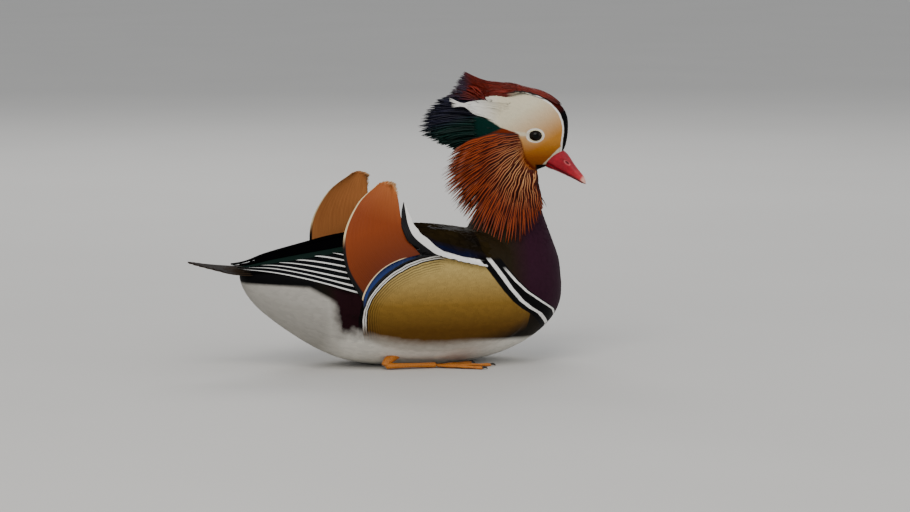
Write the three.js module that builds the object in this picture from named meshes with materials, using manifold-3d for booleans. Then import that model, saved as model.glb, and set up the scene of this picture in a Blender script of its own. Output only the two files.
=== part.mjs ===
// A drake mandarin duck at life size, resting on its belly as it floats, with its feet tucked under.
// Millimetres. +X is towards the breast, +Y the bird's left, +Z up, and the origin is the middle of
// the flat on which the belly rests. Lengths along the head are measured forward of the neck's axis.
import * as THREE from "three";
import { mergeVertices } from "three/addons/utils/BufferGeometryUtils.js";
import Module from "manifold-3d";

const wasm = await Module();
wasm.setup();

const GAP = 0.3; // between pieces that touch
const GROWN = 0.38; // how far a neighbour is swelled before it is cut away
const NECK_X = 80.9; // the upright axis on which the head is turned
const HEAD_TURN = THREE.MathUtils.degToRad(-15.5); // towards the bird's right
const RIGHT = -1;
const LEFT = 1;

// Stations of the trunk: how far it rises above, drops below and spreads beside its widest level.
const TRUNK = {
  rear: -136,
  front: 121.5,
  fullness: 3.5,
  back: 2.5,
  belly: 2.0,
  stations: [
    { x: -136, rise: 14, drop: 38, beam: 36, level: 73 },
    { x: -113, rise: 26, drop: 39, beam: 42, level: 66 },
    { x: -57, rise: 45, drop: 50, beam: 56, level: 54 },
    { x: 0, rise: 55, drop: 52.5, beam: 60.5, level: 50 },
    { x: 60, rise: 54, drop: 50, beam: 60.5, level: 50 },
    { x: 121.5, rise: 51, drop: 45, beam: 62, level: 54 },
  ],
};

// The surface that the folded wing tips follow over the rump.
const WING_TIP = {
  stations: [
    { x: -160, rise: 2, drop: 6, beam: 5, level: 80 },
    { x: -133, rise: 9, drop: 20, beam: 15, level: 74 },
    { x: -113, rise: 21, drop: 28, beam: 29, level: 68 },
    { x: -83, rise: 36, drop: 40, beam: 46, level: 60 },
    { x: -57, rise: 47.5, drop: 49, beam: 59, level: 54 },
    { x: -30, rise: 53, drop: 51, beam: 63, level: 52 },
  ],
};

// The neck, by height: where its axis is, and its reach fore and aft and to the sides.
const NECK = [
  { x: 28, axis: 64, reach: 42, beam: 46 },
  { x: 54, axis: 69.5, reach: 51.5, beam: 52 },
  { x: 68, axis: 71.5, reach: 49.5, beam: 49 },
  { x: 80, axis: 73.7, reach: 46, beam: 44.5 },
  { x: 97, axis: 77.7, reach: 36, beam: 34 },
  { x: 110, axis: 79.9, reach: 29, beam: 27 },
  { x: 124, axis: 80.5, reach: 24, beam: 22.5 },
  { x: 138, axis: 81.5, reach: 20.5, beam: 19.5 },
  { x: 155, axis: 79, reach: 19.5, beam: 18.5 },
  { x: 176, axis: 78, reach: 16, beam: 15 },
];

// The head, along its own length from the nape to the forehead.
const HEAD = {
  nape: -34,
  brow: 46.3,
  fullness: 2.6,
  stations: [
    { x: -34, rise: 34, drop: 33, beam: 22, level: 188 },
    { x: -18, rise: 38, drop: 27, beam: 21, level: 177 },
    { x: 8, rise: 41.5, drop: 27, beam: 19, level: 171.5 },
    { x: 24, rise: 38, drop: 27.5, beam: 18, level: 174.5 },
    { x: 38, rise: 33, drop: 34, beam: 18.6, level: 180 },
    { x: 46.3, rise: 31, drop: 47, beam: 22.5, level: 184 },
  ],
};

// The bill, along its axis from inside the face to the tip.
const BILL = {
  root: new THREE.Vector2(34.6, 156.8),
  slope: THREE.MathUtils.degToRad(-37.4),
  back: -9,
  tip: 31.4,
  nailFrom: 25.2,
  stations: [
    { x: -9, top: 9, under: 8.2, beam: 8.4 },
    { x: 0, top: 10, under: 8.2, beam: 8.5 },
    { x: 6, top: 9.7, under: 6.4, beam: 8.2 },
    { x: 15.7, top: 6.4, under: 4.1, beam: 7.4 },
    { x: 25, top: 4, under: 2.3, beam: 6.4 },
    { x: 31.4, top: 2.8, under: 1.6, beam: 6.2 },
  ],
};

const EYE = { along: 20, height: 176.6, aside: 12.6, radius: 6, tall: 0.86 };

// The flank's upper edge, as an angle above the trunk's widest level.
const FLANK = {
  rear: -53,
  front: 80,
  thick: 3.2,
  stations: [
    { x: -53, edge: -8, under: -17 },
    { x: -40, edge: 18, under: -34 },
    { x: -8, edge: 37, under: -43 },
    { x: 45, edge: 27, under: -43 },
    { x: 68, edge: 8, under: -38 },
    { x: 80, edge: -14, under: -25 },
  ],
};

const WING = { front: 66, rear: -60, thick: 6.5, top: 80 };

const SAIL = {
  thick: 1.3,
  topAside: 43,
  rearEdge: [
    [-53, 57],
    [-65, 80],
    [-66, 106],
    [-54, 130],
    [-37, 144],
  ],
  frontEdge: [
    [-7, 91],
    [-17, 104],
    [-20.5, 119],
    [-22, 134],
    [-25, 143.5],
  ],
};

const PLUME = {
  thick: 1.2,
  path: [
    [47, 60, 80.5],
    [12, 60, 88.5],
    [-5, 57.5, 99],
    [-13.5, 52.5, 114],
    [-18, 48, 128],
  ],
  widths: [
    { x: 0, half: 1.6 },
    { x: 0.35, half: 3 },
    { x: 0.62, half: 6.2 },
    { x: 0.82, half: 4.4 },
    { x: 1, half: 0.5 },
  ],
};

const TAIL = { root: -120, height: 79, rise: 4.8, length: 56, spread: 16, thick: 1.1 };

const LEG = { x: -30, aside: 37, toeX: 12, bone: 3.1 };

// Values between stations, and closed surfaces

function smooth(stations, key, at) {
  const last = stations.length - 1;
  const slope = (i) => {
    const before = stations[Math.max(i - 1, 0)];
    const after = stations[Math.min(i + 1, last)];
    return (after[key] - before[key]) / (after.x - before.x);
  };
  let i = 1;
  while (i < last && at > stations[i].x) i++;
  const [a, b] = [stations[i - 1], stations[i]];
  const span = b.x - a.x;
  const t = THREE.MathUtils.clamp((at - a.x) / span, 0, 1);
  return (
    a[key] * (1 + 2 * t) * (1 - t) ** 2 +
    span * slope(i - 1) * t * (1 - t) ** 2 +
    b[key] * t * t * (3 - 2 * t) -
    span * slope(i) * t * t * (1 - t)
  );
}

function roundEnd(at, low, high, fullness) {
  const reach = Math.min(Math.abs((2 * at - low - high) / (high - low)), 1);
  return Math.sqrt(1 - reach ** fullness);
}

const bulge = (value, power) => Math.sign(value) * Math.abs(value) ** (2 / power);
const rad = THREE.MathUtils.degToRad;
const mix = THREE.MathUtils.lerp;

// A closed body: a sphere's rings, each moved to where place(t, turn) puts it.
function loft(sides, rings, place) {
  const geometry = new THREE.SphereGeometry(1, sides, rings);
  const points = geometry.attributes.position;
  for (let ring = 0; ring <= rings; ring++)
    for (let side = 0; side <= sides; side++) {
      const p = place(ring / rings, ((side % sides) / sides) * 2 * Math.PI);
      points.setXYZ(ring * (sides + 1) + side, p.x, p.y, p.z);
    }
  return geometry;
}

// A closed plate: a grid and its twin, split alike, joined by a rim. place(s, w, face), face 1 or -1.
function plate(along, across, place) {
  const grid = new THREE.PlaneGeometry(1, 1, across, along);
  const count = (along + 1) * (across + 1);
  const positions = [];
  for (const face of [1, -1])
    for (let row = 0; row <= along; row++)
      for (let column = 0; column <= across; column++)
        positions.push(...place(row / along, column / across, face).toArray());
  const top = Array.from(grid.index.array);
  const under = [];
  for (let i = 0; i < top.length; i += 3)
    under.push(top[i] + count, top[i + 2] + count, top[i + 1] + count);
  const rim = [];
  for (let c = 0; c < across; c++) rim.push(c);
  for (let r = 0; r < along; r++) rim.push(r * (across + 1) + across);
  for (let c = across; c > 0; c--) rim.push(along * (across + 1) + c);
  for (let r = along; r > 0; r--) rim.push(r * (across + 1));
  const wall = rim.flatMap((a, i) => {
    const b = rim[(i + 1) % rim.length];
    return [a, b, b + count, a, b + count, a + count];
  });
  const geometry = new THREE.BufferGeometry();
  geometry.setAttribute("position", new THREE.Float32BufferAttribute(positions, 3));
  geometry.setIndex([...top, ...under, ...wall]);
  return geometry;
}

const swell = (t) => Math.sin(Math.PI * Math.min(t, 1) ** 0.8) ** 0.75;

// A flat tapered lock along a curve. outward is the way its flat side faces.
function lock(path, width, thick, outward, rings = 4) {
  return loft(4, rings, (t, turn) => {
    const way = path.getTangent(t);
    const aside = outward.clone().cross(way).normalize();
    const out = way.clone().cross(aside);
    const size = t <= 0 || t >= 1 ? 0 : swell(t);
    return path
      .getPoint(t)
      .addScaledVector(aside, width * size * Math.cos(turn))
      .addScaledVector(out, thick * size * Math.sin(turn));
  });
}

const unit = (i, seed) => {
  const value = Math.sin(i * 12.9898 + seed * 78.233) * 43758.5453;
  return value - Math.floor(value);
};

function merged(geometry) {
  const bare = geometry.clone();
  bare.deleteAttribute("normal");
  bare.deleteAttribute("uv");
  return mergeVertices(bare, 1e-4);
}

// A geometry as a solid whose faces point out.
function solid(geometry) {
  const shape = merged(geometry);
  const vertProperties = new Float32Array(shape.attributes.position.array);
  const triVerts = new Uint32Array(shape.index.array);
  const make = () => new wasm.Manifold(new wasm.Mesh({ numProp: 3, vertProperties, triVerts }));
  const made = make();
  if (made.volume() > 0) return made;
  for (let i = 0; i < triVerts.length; i += 3)
    [triVerts[i + 1], triVerts[i + 2]] = [triVerts[i + 2], triVerts[i + 1]];
  return make();
}

function grown(geometry, by = GROWN) {
  const shape = merged(geometry);
  shape.computeVertexNormals();
  const outward = signedVolume(shape) > 0 ? by : -by;
  const points = shape.attributes.position;
  const normals = shape.attributes.normal;
  const at = new THREE.Vector3();
  const normal = new THREE.Vector3();
  for (let i = 0; i < points.count; i++) {
    at.fromBufferAttribute(points, i);
    normal.fromBufferAttribute(normals, i);
    at.addScaledVector(normal, outward);
    points.setXYZ(i, at.x, at.y, at.z);
  }
  return solid(shape).add(solid(geometry));
}

function signedVolume(shape) {
  const [a, b, c] = [new THREE.Vector3(), new THREE.Vector3(), new THREE.Vector3()];
  const points = shape.attributes.position;
  let sum = 0;
  for (let i = 0; i < shape.index.count; i += 3) {
    a.fromBufferAttribute(points, shape.index.getX(i));
    b.fromBufferAttribute(points, shape.index.getX(i + 1));
    c.fromBufferAttribute(points, shape.index.getX(i + 2));
    sum += a.dot(b.cross(c)) / 6;
  }
  return sum;
}

const union = (pieces) => pieces.reduce((sum, piece) => sum.add(piece));
const without = (body, cutters) => cutters.reduce((rest, cutter) => rest.subtract(cutter), body);

function largest(body) {
  return body.decompose().reduce((a, b) => (b.volume() > a.volume() ? b : a));
}

// The trunk, neck and head, which are modelled whole and parted by thin cuts

function shellPoint(spec, size, x, turn, lift = 0) {
  const up = Math.sin(turn);
  const power = up >= 0 ? TRUNK.back : TRUNK.belly;
  const y = (smooth(spec, "beam", x) * size + lift) * bulge(Math.cos(turn), power);
  const tall = smooth(spec, up >= 0 ? "rise" : "drop", x) * size + lift;
  return new THREE.Vector3(x, y, smooth(spec, "level", x) + tall * bulge(up, power));
}

const trunkSize = (x) => roundEnd(x, TRUNK.rear, TRUNK.front, TRUNK.fullness);

function trunk(grow = 0) {
  const middle = (TRUNK.rear + TRUNK.front) / 2;
  const half = (TRUNK.front - TRUNK.rear) / 2;
  return loft(28, 17, (t, turn) => {
    const reach = -Math.cos(Math.PI * t);
    const point = shellPoint(
      TRUNK.stations,
      trunkSize(middle + half * reach),
      middle + half * reach,
      turn,
      grow * Math.sin(Math.PI * t),
    );
    point.x += grow * reach;
    return point;
  });
}

// A point on the trunk's side, a given angle above its widest level and lifted off its surface.
function onTrunk(x, angle, lift) {
  return shellPoint(TRUNK.stations, trunkSize(x), x, rad(angle), lift);
}

function neck(grow = 0) {
  const [low, high] = [NECK[0].x, NECK[NECK.length - 1].x];
  return loft(20, 9, (t, turn) => {
    const height = mix(low, high, (1 - Math.cos(Math.PI * t)) / 2);
    const size = Math.min(1, Math.sin(Math.PI * t) * 1.9);
    const reach = smooth(NECK, "reach", height) * size + grow;
    const beam = smooth(NECK, "beam", height) * size + grow;
    const inside = t === 0 || t === 1 ? 0 : 1;
    return new THREE.Vector3(
      smooth(NECK, "axis", height) + reach * Math.cos(turn) * inside,
      beam * Math.sin(turn) * inside,
      height,
    );
  });
}

// From the head's own lengths to the bird's: turned about the neck's axis.
function headPoint(along, aside, height) {
  return new THREE.Vector3(
    NECK_X + along * Math.cos(HEAD_TURN) - aside * Math.sin(HEAD_TURN),
    along * Math.sin(HEAD_TURN) + aside * Math.cos(HEAD_TURN),
    height,
  );
}

function onHead(along, turn, lift) {
  const size = roundEnd(along, HEAD.nape, HEAD.brow, HEAD.fullness);
  const up = Math.sin(turn);
  const tall = smooth(HEAD.stations, up >= 0 ? "rise" : "drop", along) * size + lift;
  const beam = smooth(HEAD.stations, "beam", along) * size + lift;
  return headPoint(
    along,
    beam * Math.cos(turn),
    smooth(HEAD.stations, "level", along) + tall * up,
  );
}

function head(grow = 0) {
  const middle = (HEAD.nape + HEAD.brow) / 2;
  const half = (HEAD.brow - HEAD.nape) / 2;
  return loft(22, 15, (t, turn) => {
    const reach = -Math.cos(Math.PI * t);
    const point = onHead(middle + half * reach, turn, grow * Math.sin(Math.PI * t));
    return point.add(headPoint(grow * reach, 0, 0).sub(headPoint(0, 0, 0)));
  });
}

// Everything on one side of a plane through a point, as a large box.
function halfSpace(point, normal) {
  const size = 600;
  const box = new THREE.BoxGeometry(size, size, size);
  box.translate(0, 0, size / 2);
  box.applyQuaternion(
    new THREE.Quaternion().setFromUnitVectors(new THREE.Vector3(0, 0, 1), normal.clone().normalize()),
  );
  box.translate(point.x, point.y, point.z);
  return solid(box);
}

function cutAt(point, normal) {
  const way = normal.clone().normalize();
  const shift = way.clone().multiplyScalar(GAP / 2);
  return {
    above: halfSpace(point.clone().add(shift), way),
    below: halfSpace(point.clone().sub(shift), way.clone().negate()),
  };
}

const floor = halfSpace(new THREE.Vector3(0, 0, 0), new THREE.Vector3(0, 0, 1));
const neckCut = cutAt(new THREE.Vector3(78, 0, 93), new THREE.Vector3(0.256, 0, 0.967));
const headCut = cutAt(
  headPoint(0, 0, 155),
  headPoint(0.26, 0, 0.966).sub(headPoint(0, 0, 0)),
);

const flesh = union([solid(trunk()), solid(neck()), solid(head())]);
const fleshGrown = [solid(trunk(GROWN)), solid(neck(GROWN)), solid(head(GROWN))];

// Bill and eyes

function billPoint(along, aside, up) {
  const forward = new THREE.Vector2(Math.cos(BILL.slope), Math.sin(BILL.slope));
  return headPoint(
    BILL.root.x + along * forward.x - up * forward.y,
    aside,
    BILL.root.y + along * forward.y + up * forward.x,
  );
}

function billShape(grow = 0, inset = 0) {
  return loft(16, 10, (t, turn) => {
    const along = mix(BILL.back, BILL.tip - inset, (1 - Math.cos(Math.PI * t)) / 2);
    const size = Math.min(1, Math.sin(Math.PI * Math.min(t, 1)) * 1.7);
    const up = Math.sin(turn);
    const tall = (smooth(BILL.stations, up >= 0 ? "top" : "under", along) - inset) * size + grow;
    const beam = (smooth(BILL.stations, "beam", along) - inset) * size + grow;
    const inside = t === 0 || t === 1 ? 0 : 1;
    return billPoint(along, beam * bulge(Math.cos(turn), 2.4) * inside, tall * bulge(up, 2.2) * inside);
  });
}

function billParts() {
  const normal = billPoint(0, 0, 1).sub(billPoint(0.155, 0, 0));
  const mouth = cutAt(billPoint(0, 0, -5), normal);
  const nailCut = cutAt(billPoint(BILL.nailFrom, 0, 0), billPoint(1, 0, 0).sub(billPoint(0, 0, 0)));
  const face = [solid(head(GROWN))];
  const upper = without(solid(billShape()).intersect(mouth.above), face);
  const nostril = new THREE.SphereGeometry(1, 10, 6);
  const holes = [-1, 1].map((side) => {
    const hole = nostril.clone();
    hole.scale(2.2, 1.6, 1);
    hole.rotateY(-BILL.slope);
    hole.rotateZ(HEAD_TURN);
    const at = billPoint(9.2, side * 6.6, 4.6);
    hole.translate(at.x, at.y, at.z);
    return solid(hole);
  });
  return {
    upper: largest(without(upper, holes).intersect(nailCut.below)),
    nail: largest(upper.intersect(nailCut.above)),
    lower: largest(without(solid(billShape(0, 0.9)).intersect(mouth.below), face)),
  };
}

function eyeball(side, grow = 0) {
  const ball = new THREE.SphereGeometry(EYE.radius + grow, 14, 9);
  ball.scale(1, 1, EYE.tall);
  ball.rotateZ(HEAD_TURN);
  const at = headPoint(EYE.along, side * EYE.aside, EYE.height);
  return ball.translate(at.x, at.y, at.z);
}

// The rim of the lids, an almond drawn out to a point behind the eye.
function lids(side) {
  const outline = [];
  for (let i = 0; i < 20; i++) {
    const turn = (i / 20) * 2 * Math.PI;
    const behind = Math.max(0, -Math.cos(turn)) ** 6 * 2.4;
    outline.push(
      headPoint(
        EYE.along + 5.1 * Math.cos(turn) - behind,
        side * (EYE.aside + 4.1),
        EYE.height + 4.2 * Math.sin(turn) + behind * 0.35,
      ),
    );
  }
  const path = new THREE.CatmullRomCurve3(outline, true);
  const section = new THREE.Shape().absarc(0, 0, 0.75, 0, 2 * Math.PI);
  return new THREE.ExtrudeGeometry(section, { steps: 15, curveSegments: 2, extrudePath: path });
}

// Flank, wing, sail and plume, built on the right and mirrored

function flankPlate() {
  return plate(12, 6, (s, w, face) => {
    const x = mix(FLANK.rear, FLANK.front, s);
    const low = smooth(FLANK.stations, "under", x);
    const angle = mix(low, smooth(FLANK.stations, "edge", x), w);
    const edge = Math.min(1, 5 * Math.min(s, 1 - s, w, 1 - w) + 0.25);
    return onTrunk(x, angle, face > 0 ? GAP + FLANK.thick * Math.sqrt(edge) : -1);
  });
}

function wingPlate() {
  return plate(9, 5, (s, w, face) => {
    const x = mix(WING.front, WING.rear, s);
    const low = smooth(FLANK.stations, "edge", Math.max(x, FLANK.rear)) - 3;
    const angle = mix(low, WING.top, w);
    const body = Math.sin(Math.PI * Math.min(1, s * 0.92)) ** 0.6 * Math.sin(Math.PI * mix(0.2, 1, w)) ** 0.7;
    return onTrunk(x, angle, face > 0 ? GAP + 0.8 + WING.thick * body : -1);
  });
}

// One vane laid along a body: rounded at its tip and lifted along the edge that covers the next.
function vane(along, across, surface, spec) {
  return plate(along, across, (s, w, face) => {
    const round = Math.sqrt(Math.max(1 - ((s - 0.55) / 0.45) ** 2, 0));
    const wide = s < 0.55 ? 1 : Math.max(round ** 0.7, 0.14);
    const x = mix(spec.root, spec.tip, s);
    const middle = mix(spec.angle, spec.tipAngle, s);
    const half = mix(spec.half, spec.tipHalf, s) * wide;
    const lift = mix(spec.lift + spec.cover, spec.lift, w) + (face > 0 ? spec.thick : 0);
    return surface(x, middle + half * (2 * w - 1), lift * mix(1, spec.settle ?? 1, s));
  });
}

function flightFeathers() {
  const onRump = (x, angle, lift) => shellPoint(WING_TIP.stations, 1, x, rad(angle), lift - 1.9);
  const ends = [-84, -104, -119, -131, -139, -141, -136, -128];
  return ends.map((tip, i) =>
    vane(5, 2, onRump, {
      root: -38,
      tip,
      angle: 12 + 9 * i,
      tipAngle: mix(12, 20, i / 7) + 8.4 * i,
      half: 6.6,
      tipHalf: 7.6,
      lift: 0,
      cover: 1.1,
      thick: 0.9,
    }),
  );
}

function coverts() {
  return [0, 1, 2].map((i) =>
    vane(4, 2, onTrunk, {
      root: -2 - 3 * i,
      tip: -60 - 4 * i,
      angle: 30 - 11 * i,
      tipAngle: 34 - 11.5 * i,
      half: 7,
      tipHalf: 7,
      lift: 3.6,
      cover: 1.2,
      thick: 1.1,
    }),
  );
}

const curveOf = (points) => new THREE.CatmullRomCurve3(points.map((p) => new THREE.Vector3(...p)));
const edgeCurve = (points) => curveOf(points.map(([x, z]) => [x, 0, z]));

function sailPlate() {
  const rear = edgeCurve(SAIL.rearEdge);
  const front = edgeCurve(SAIL.frontEdge);
  return plate(9, 5, (s, w, face) => {
    const at = rear.getPoint(s).lerp(front.getPoint(s), w);
    const bow = Math.sin(Math.PI * w ** 0.75) * (1 - s) ** 3;
    at.x -= 3 * bow;
    at.z += 10.5 * bow + 2.2 * s * s * Math.sin(Math.PI * w);
    const root = mix(61, 57.5, w);
    const cup = 3 * Math.sin(Math.PI * w) * (1 - s * 0.5);
    at.y = mix(root, SAIL.topAside, s ** 1.2) + cup + (face * SAIL.thick) / 2;
    return at;
  });
}

function plumePlate() {
  const path = curveOf(PLUME.path);
  return plate(10, 2, (s, w, face) => {
    const at = path.getPoint(s);
    const ahead = path.getTangent(s);
    const across = new THREE.Vector3(0, 1, 0).cross(ahead).normalize();
    const out = across.clone().cross(ahead).normalize().multiplyScalar(-1);
    at.addScaledVector(across, (2 * w - 1) * smooth(PLUME.widths, "half", s));
    return at.addScaledVector(out, (face * PLUME.thick) / 2);
  });
}

// Tail

function tail(grow = 0) {
  const feathers = Array.from({ length: 10 }, (_, i) => {
    const out = (i - 4.5) / 4.5;
    const fan = rad(TAIL.spread * out);
    const reach = TAIL.length * (1 - 0.36 * Math.abs(out) ** 1.5);
    const shelf = -0.62 * Math.abs(out) * 4.5 - 2.4 * out * out;
    return plate(4, 2, (s, w, face) => {
      const wide = Math.max(Math.sqrt(1 - Math.max(0, (s - 0.4) / 0.6) ** 2), 0.1);
      const half = (mix(3, 5.4, s) + grow) * wide * (2 * w - 1);
      const along = s * (reach + grow);
      return new THREE.Vector3(
        TAIL.root - along * Math.cos(fan) - half * Math.sin(fan),
        9 * out + along * Math.sin(fan) + half * Math.cos(fan),
        TAIL.height + TAIL.rise * s * s + shelf - 0.5 * (2 * w - 1) ** 2 + face * (TAIL.thick / 2 + grow),
      );
    });
  });
  const pad = loft(10, 6, (t, turn) => {
    const size = Math.sin(Math.PI * t) ** 0.6;
    return new THREE.Vector3(
      mix(TAIL.root + 14, TAIL.root - 22, t),
      (13 + grow) * size * Math.cos(turn),
      TAIL.height - 1 + (4 + grow) * size * Math.sin(turn),
    );
  });
  return [pad, ...feathers];
}

// Crest, brow plumes and ruff

// How far aside the head's surface is at a point given along and up it.
function besideHead(along, height) {
  const size = roundEnd(along, HEAD.nape, HEAD.brow, HEAD.fullness);
  const level = smooth(HEAD.stations, "level", along);
  const tall = smooth(HEAD.stations, height > level ? "rise" : "drop", along) * size;
  const up = Math.min(Math.abs(height - level) / Math.max(tall, 1), 1);
  return smooth(HEAD.stations, "beam", along) * size * Math.sqrt(1 - up * up);
}

const headCurve = (points) =>
  new THREE.CatmullRomCurve3(points.map(([along, aside, height]) => headPoint(along, aside, height)));
const headWay = (along, aside, height) =>
  headPoint(along, aside, height).sub(headPoint(0, 0, 0)).normalize();

function crownCrest() {
  const core = loft(10, 8, (t, turn) => {
    const size = Math.sin(Math.PI * t) ** 0.5;
    return headPoint(
      mix(24, -24, t),
      8 * size * Math.cos(turn) * mix(1, 0.55, t),
      mix(209, 213, t ** 0.6) + mix(3, 5, t) * size * Math.sin(turn),
    );
  });
  const locks = [];
  for (let row = 0; row < 3; row++)
    for (let i = -2; i <= 2; i++) {
      const back = [-15, -26, -33][row] + 1.2 * Math.abs(i) + 2.4 * unit(i + 7, row);
      const height = [217, 219.8, 224][row] - [0.9, 2, 2.6][row] * Math.abs(i);
      const path = headCurve([
        [back + 30, 3.3 * i, 210.5 - 0.7 * i * i],
        [back + 14, 2.9 * i, mix(213, 215, row / 2) - 0.5 * i * i],
        [back, 1.9 * i, height],
      ]);
      locks.push(lock(path, 2.5, 1.5, headWay(0, i * 0.25, 1)));
    }
  return [core, ...locks];
}

const NAPE_TIPS = [
  [-36, 216],
  [-47, 209],
  [-61, 201.5],
  [-66.5, 194],
  [-71.5, 186],
  [-71.5, 177],
  [-64, 172.5],
  [-55, 167.5],
  [-44, 164],
];

function napeCrest() {
  const core = loft(12, 8, (t, turn) => {
    const size = Math.sin(Math.PI * t) ** 0.5;
    return headPoint(
      mix(-10, -54, t),
      mix(18, 6, t) * size * Math.cos(turn),
      mix(188, 186, t) + mix(15, 14, t) * size * Math.sin(turn),
    );
  });
  const outline = new THREE.CatmullRomCurve3(NAPE_TIPS.map(([d, z]) => new THREE.Vector3(d, 0, z)));
  const locks = [-6.4, -2.1, 2.1, 6.4].flatMap((aside, layer) =>
    Array.from({ length: 8 }, (_, i) => {
      const q = (i + 0.15 + 0.7 * unit(i, layer)) / 8;
      const tip = outline.getPoint(q);
      const short = Math.abs(aside) > 3 ? 0.84 : 1;
      const rootHeight = mix(208, 170, q);
      const at = (t) => {
        const out = t * short;
        return [
          mix(-16, tip.x, out),
          mix(aside * 2.1, aside * 0.8, t),
          mix(rootHeight, tip.z, out) + 2.2 * Math.sin(Math.PI * t),
        ];
      };
      return lock(headCurve([at(0.05), at(0.4), at(0.72), at(1)]), 3.1, 1.5, headWay(-0.3, aside, 0));
    }),
  );
  return [core, ...locks];
}

const BROW_TIPS = [
  [-33, 207, 201],
  [-47.5, 206, 199],
  [-46, 200.5, 196],
  [-44, 197, 193.5],
  [-35, 194, 191],
  [-27, 190, 187.5],
  [-18, 186, 184.5],
];

function browPlume() {
  const lift = 0.5;
  return BROW_TIPS.map(([tip, height, root]) => {
    const on = (along, up) => [along, besideHead(along, up) + lift, up];
    const end = mix(15.5, 7.5, THREE.MathUtils.clamp((-tip - 10) / 35, 0, 1));
    const near = Math.max(tip * 0.45, -17);
    const path = headCurve([
      on(7, root - 1),
      on((7 + near) / 2, mix(root, height, 0.3)),
      on(near, mix(root, height, 0.55)),
      [tip, end + 2.4, height],
    ]);
    return lock(path, 2.3, 1.25, headWay(0, 1, 0.1), 5);
  });
}

// How far the hackles reach from the cheek, by the way they point.
const HACKLES = [
  { x: 178, reach: 48 },
  { x: 189, reach: 58 },
  { x: 204, reach: 67 },
  { x: 226, reach: 70 },
  { x: 247, reach: 76.5 },
  { x: 255, reach: 77 },
  { x: 262, reach: 73 },
  { x: 276, reach: 66 },
  { x: 287, reach: 46 },
];

// A point among the hackles: fanned out from the cheek, and hung clear of the neck and shoulder.
function hacklePoint(fan, out, lift) {
  const along = 10 + out * Math.cos(rad(fan));
  const height = 168 + out * Math.sin(rad(fan));
  const neckBeam = smooth(NECK, "beam", Math.max(height, NECK[0].x));
  const behind = THREE.MathUtils.clamp((-along - 8) / 40, 0, 1);
  const aside = mix(Math.max(neckBeam, 18.5) + 2.6, 2.2, behind ** 1.5) + lift;
  return headPoint(along, aside, height);
}

function ruff() {
  const core = plate(4, 7, (s, w, face) => {
    const fan = mix(183, 283, w);
    return hacklePoint(fan, mix(11, 0.5 * smooth(HACKLES, "reach", fan), s), 0.4 + face * mix(1.5, 0.6, s));
  });
  const tiers = [
    { count: 13, from: 180, to: 287, short: 1, lift: 0.4, width: 3.7 },
    { count: 9, from: 186, to: 283, short: 0.8, lift: 1.7, width: 3.5 },
    { count: 6, from: 192, to: 279, short: 0.59, lift: 2.7, width: 3.2 },
  ];
  const locks = tiers.flatMap((tier, k) =>
    Array.from({ length: tier.count }, (_, i) => {
      const fan = mix(tier.from, tier.to, i / (tier.count - 1));
      const reach = smooth(HACKLES, "reach", fan) * tier.short * mix(0.94, 1.02, unit(i, k));
      const at = (t, lift) => hacklePoint(fan - 5 * Math.sin(Math.PI * t), mix(16, reach, t), lift);
      const path = new THREE.CatmullRomCurve3([
        at(0, 0),
        at(0.35, tier.lift * 0.8),
        at(0.7, tier.lift),
        at(1, tier.lift * 0.5 + 0.6),
      ]);
      return lock(path, tier.width, 0.85, headWay(-0.25, 1, 0));
    }),
  );
  return [core, ...locks];
}

// Legs and feet, folded flat beneath the belly

function rod(from, to, wide, tip, sides = 6) {
  const path = new THREE.LineCurve3(from, to);
  const way = path.getTangent(0);
  const aside = new THREE.Vector3(0, 0, 1).cross(way).normalize();
  const up = way.clone().cross(aside);
  return loft(sides, 6, (t, turn) => {
    const size = mix(wide, tip, t) * Math.min(1, Math.sin(Math.PI * t) * 1.6);
    return path
      .getPoint(t)
      .addScaledVector(aside, size * Math.cos(turn))
      .addScaledVector(up, size * Math.sin(turn));
  });
}

function shank() {
  const heel = new THREE.Vector3(LEG.x, LEG.aside, LEG.bone);
  return [
    rod(new THREE.Vector3(LEG.x + 16, LEG.aside - 2, 20), heel, 9, 4.2, 12),
    rod(heel, new THREE.Vector3(LEG.toeX - 3, LEG.aside, LEG.bone), 4, LEG.bone),
  ];
}

function foot() {
  const hub = new THREE.Vector3(LEG.toeX, LEG.aside, 2.6);
  const tips = [
    [46, LEG.aside - 11],
    [58, LEG.aside + 5],
    [48, LEG.aside + 18],
  ];
  const toes = tips.map(([x, y]) => rod(hub, new THREE.Vector3(x, y, 1.4), 3, 1.2));
  const webs = tips.slice(1).map(([x, y], i) => {
    const [innerX, innerY] = tips[i];
    return plate(5, 4, (s, w, face) => {
      const reach = s * (0.88 - 0.16 * Math.sin(Math.PI * w));
      return new THREE.Vector3(
        mix(hub.x, mix(innerX, x, w), reach),
        mix(hub.y, mix(innerY, y, w), reach) + (w - 0.5) * 0.8,
        1.1 + face * 0.5,
      );
    });
  });
  const hind = rod(hub, new THREE.Vector3(LEG.toeX - 9, LEG.aside - 6, 1.4), 2.2, 1);
  return [...toes, ...webs, hind];
}

// Assembly

const MATERIALS = {
  trunk: [0x7d7466, 0.85],
  neck: [0x2a1420, 0.6],
  head: [0xc9bb94, 0.8],
  bill: [0xa8182c, 0.35],
  nail: [0xe8b7a0, 0.4],
  eye: [0x0a0806, 0.05],
  crest: [0x6e2412, 0.6],
  nape: [0x0c2226, 0.5],
  white: [0xe4e2dc, 0.8],
  ruff: [0xa1461a, 0.7],
  flank: [0x8a682c, 0.75],
  wing: [0x17181d, 0.6],
  sail: [0xa6501c, 0.7],
  tail: [0x3a3026, 0.7],
  leg: [0xc47a2a, 0.6],
};

const duck = new THREE.Group();

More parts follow.
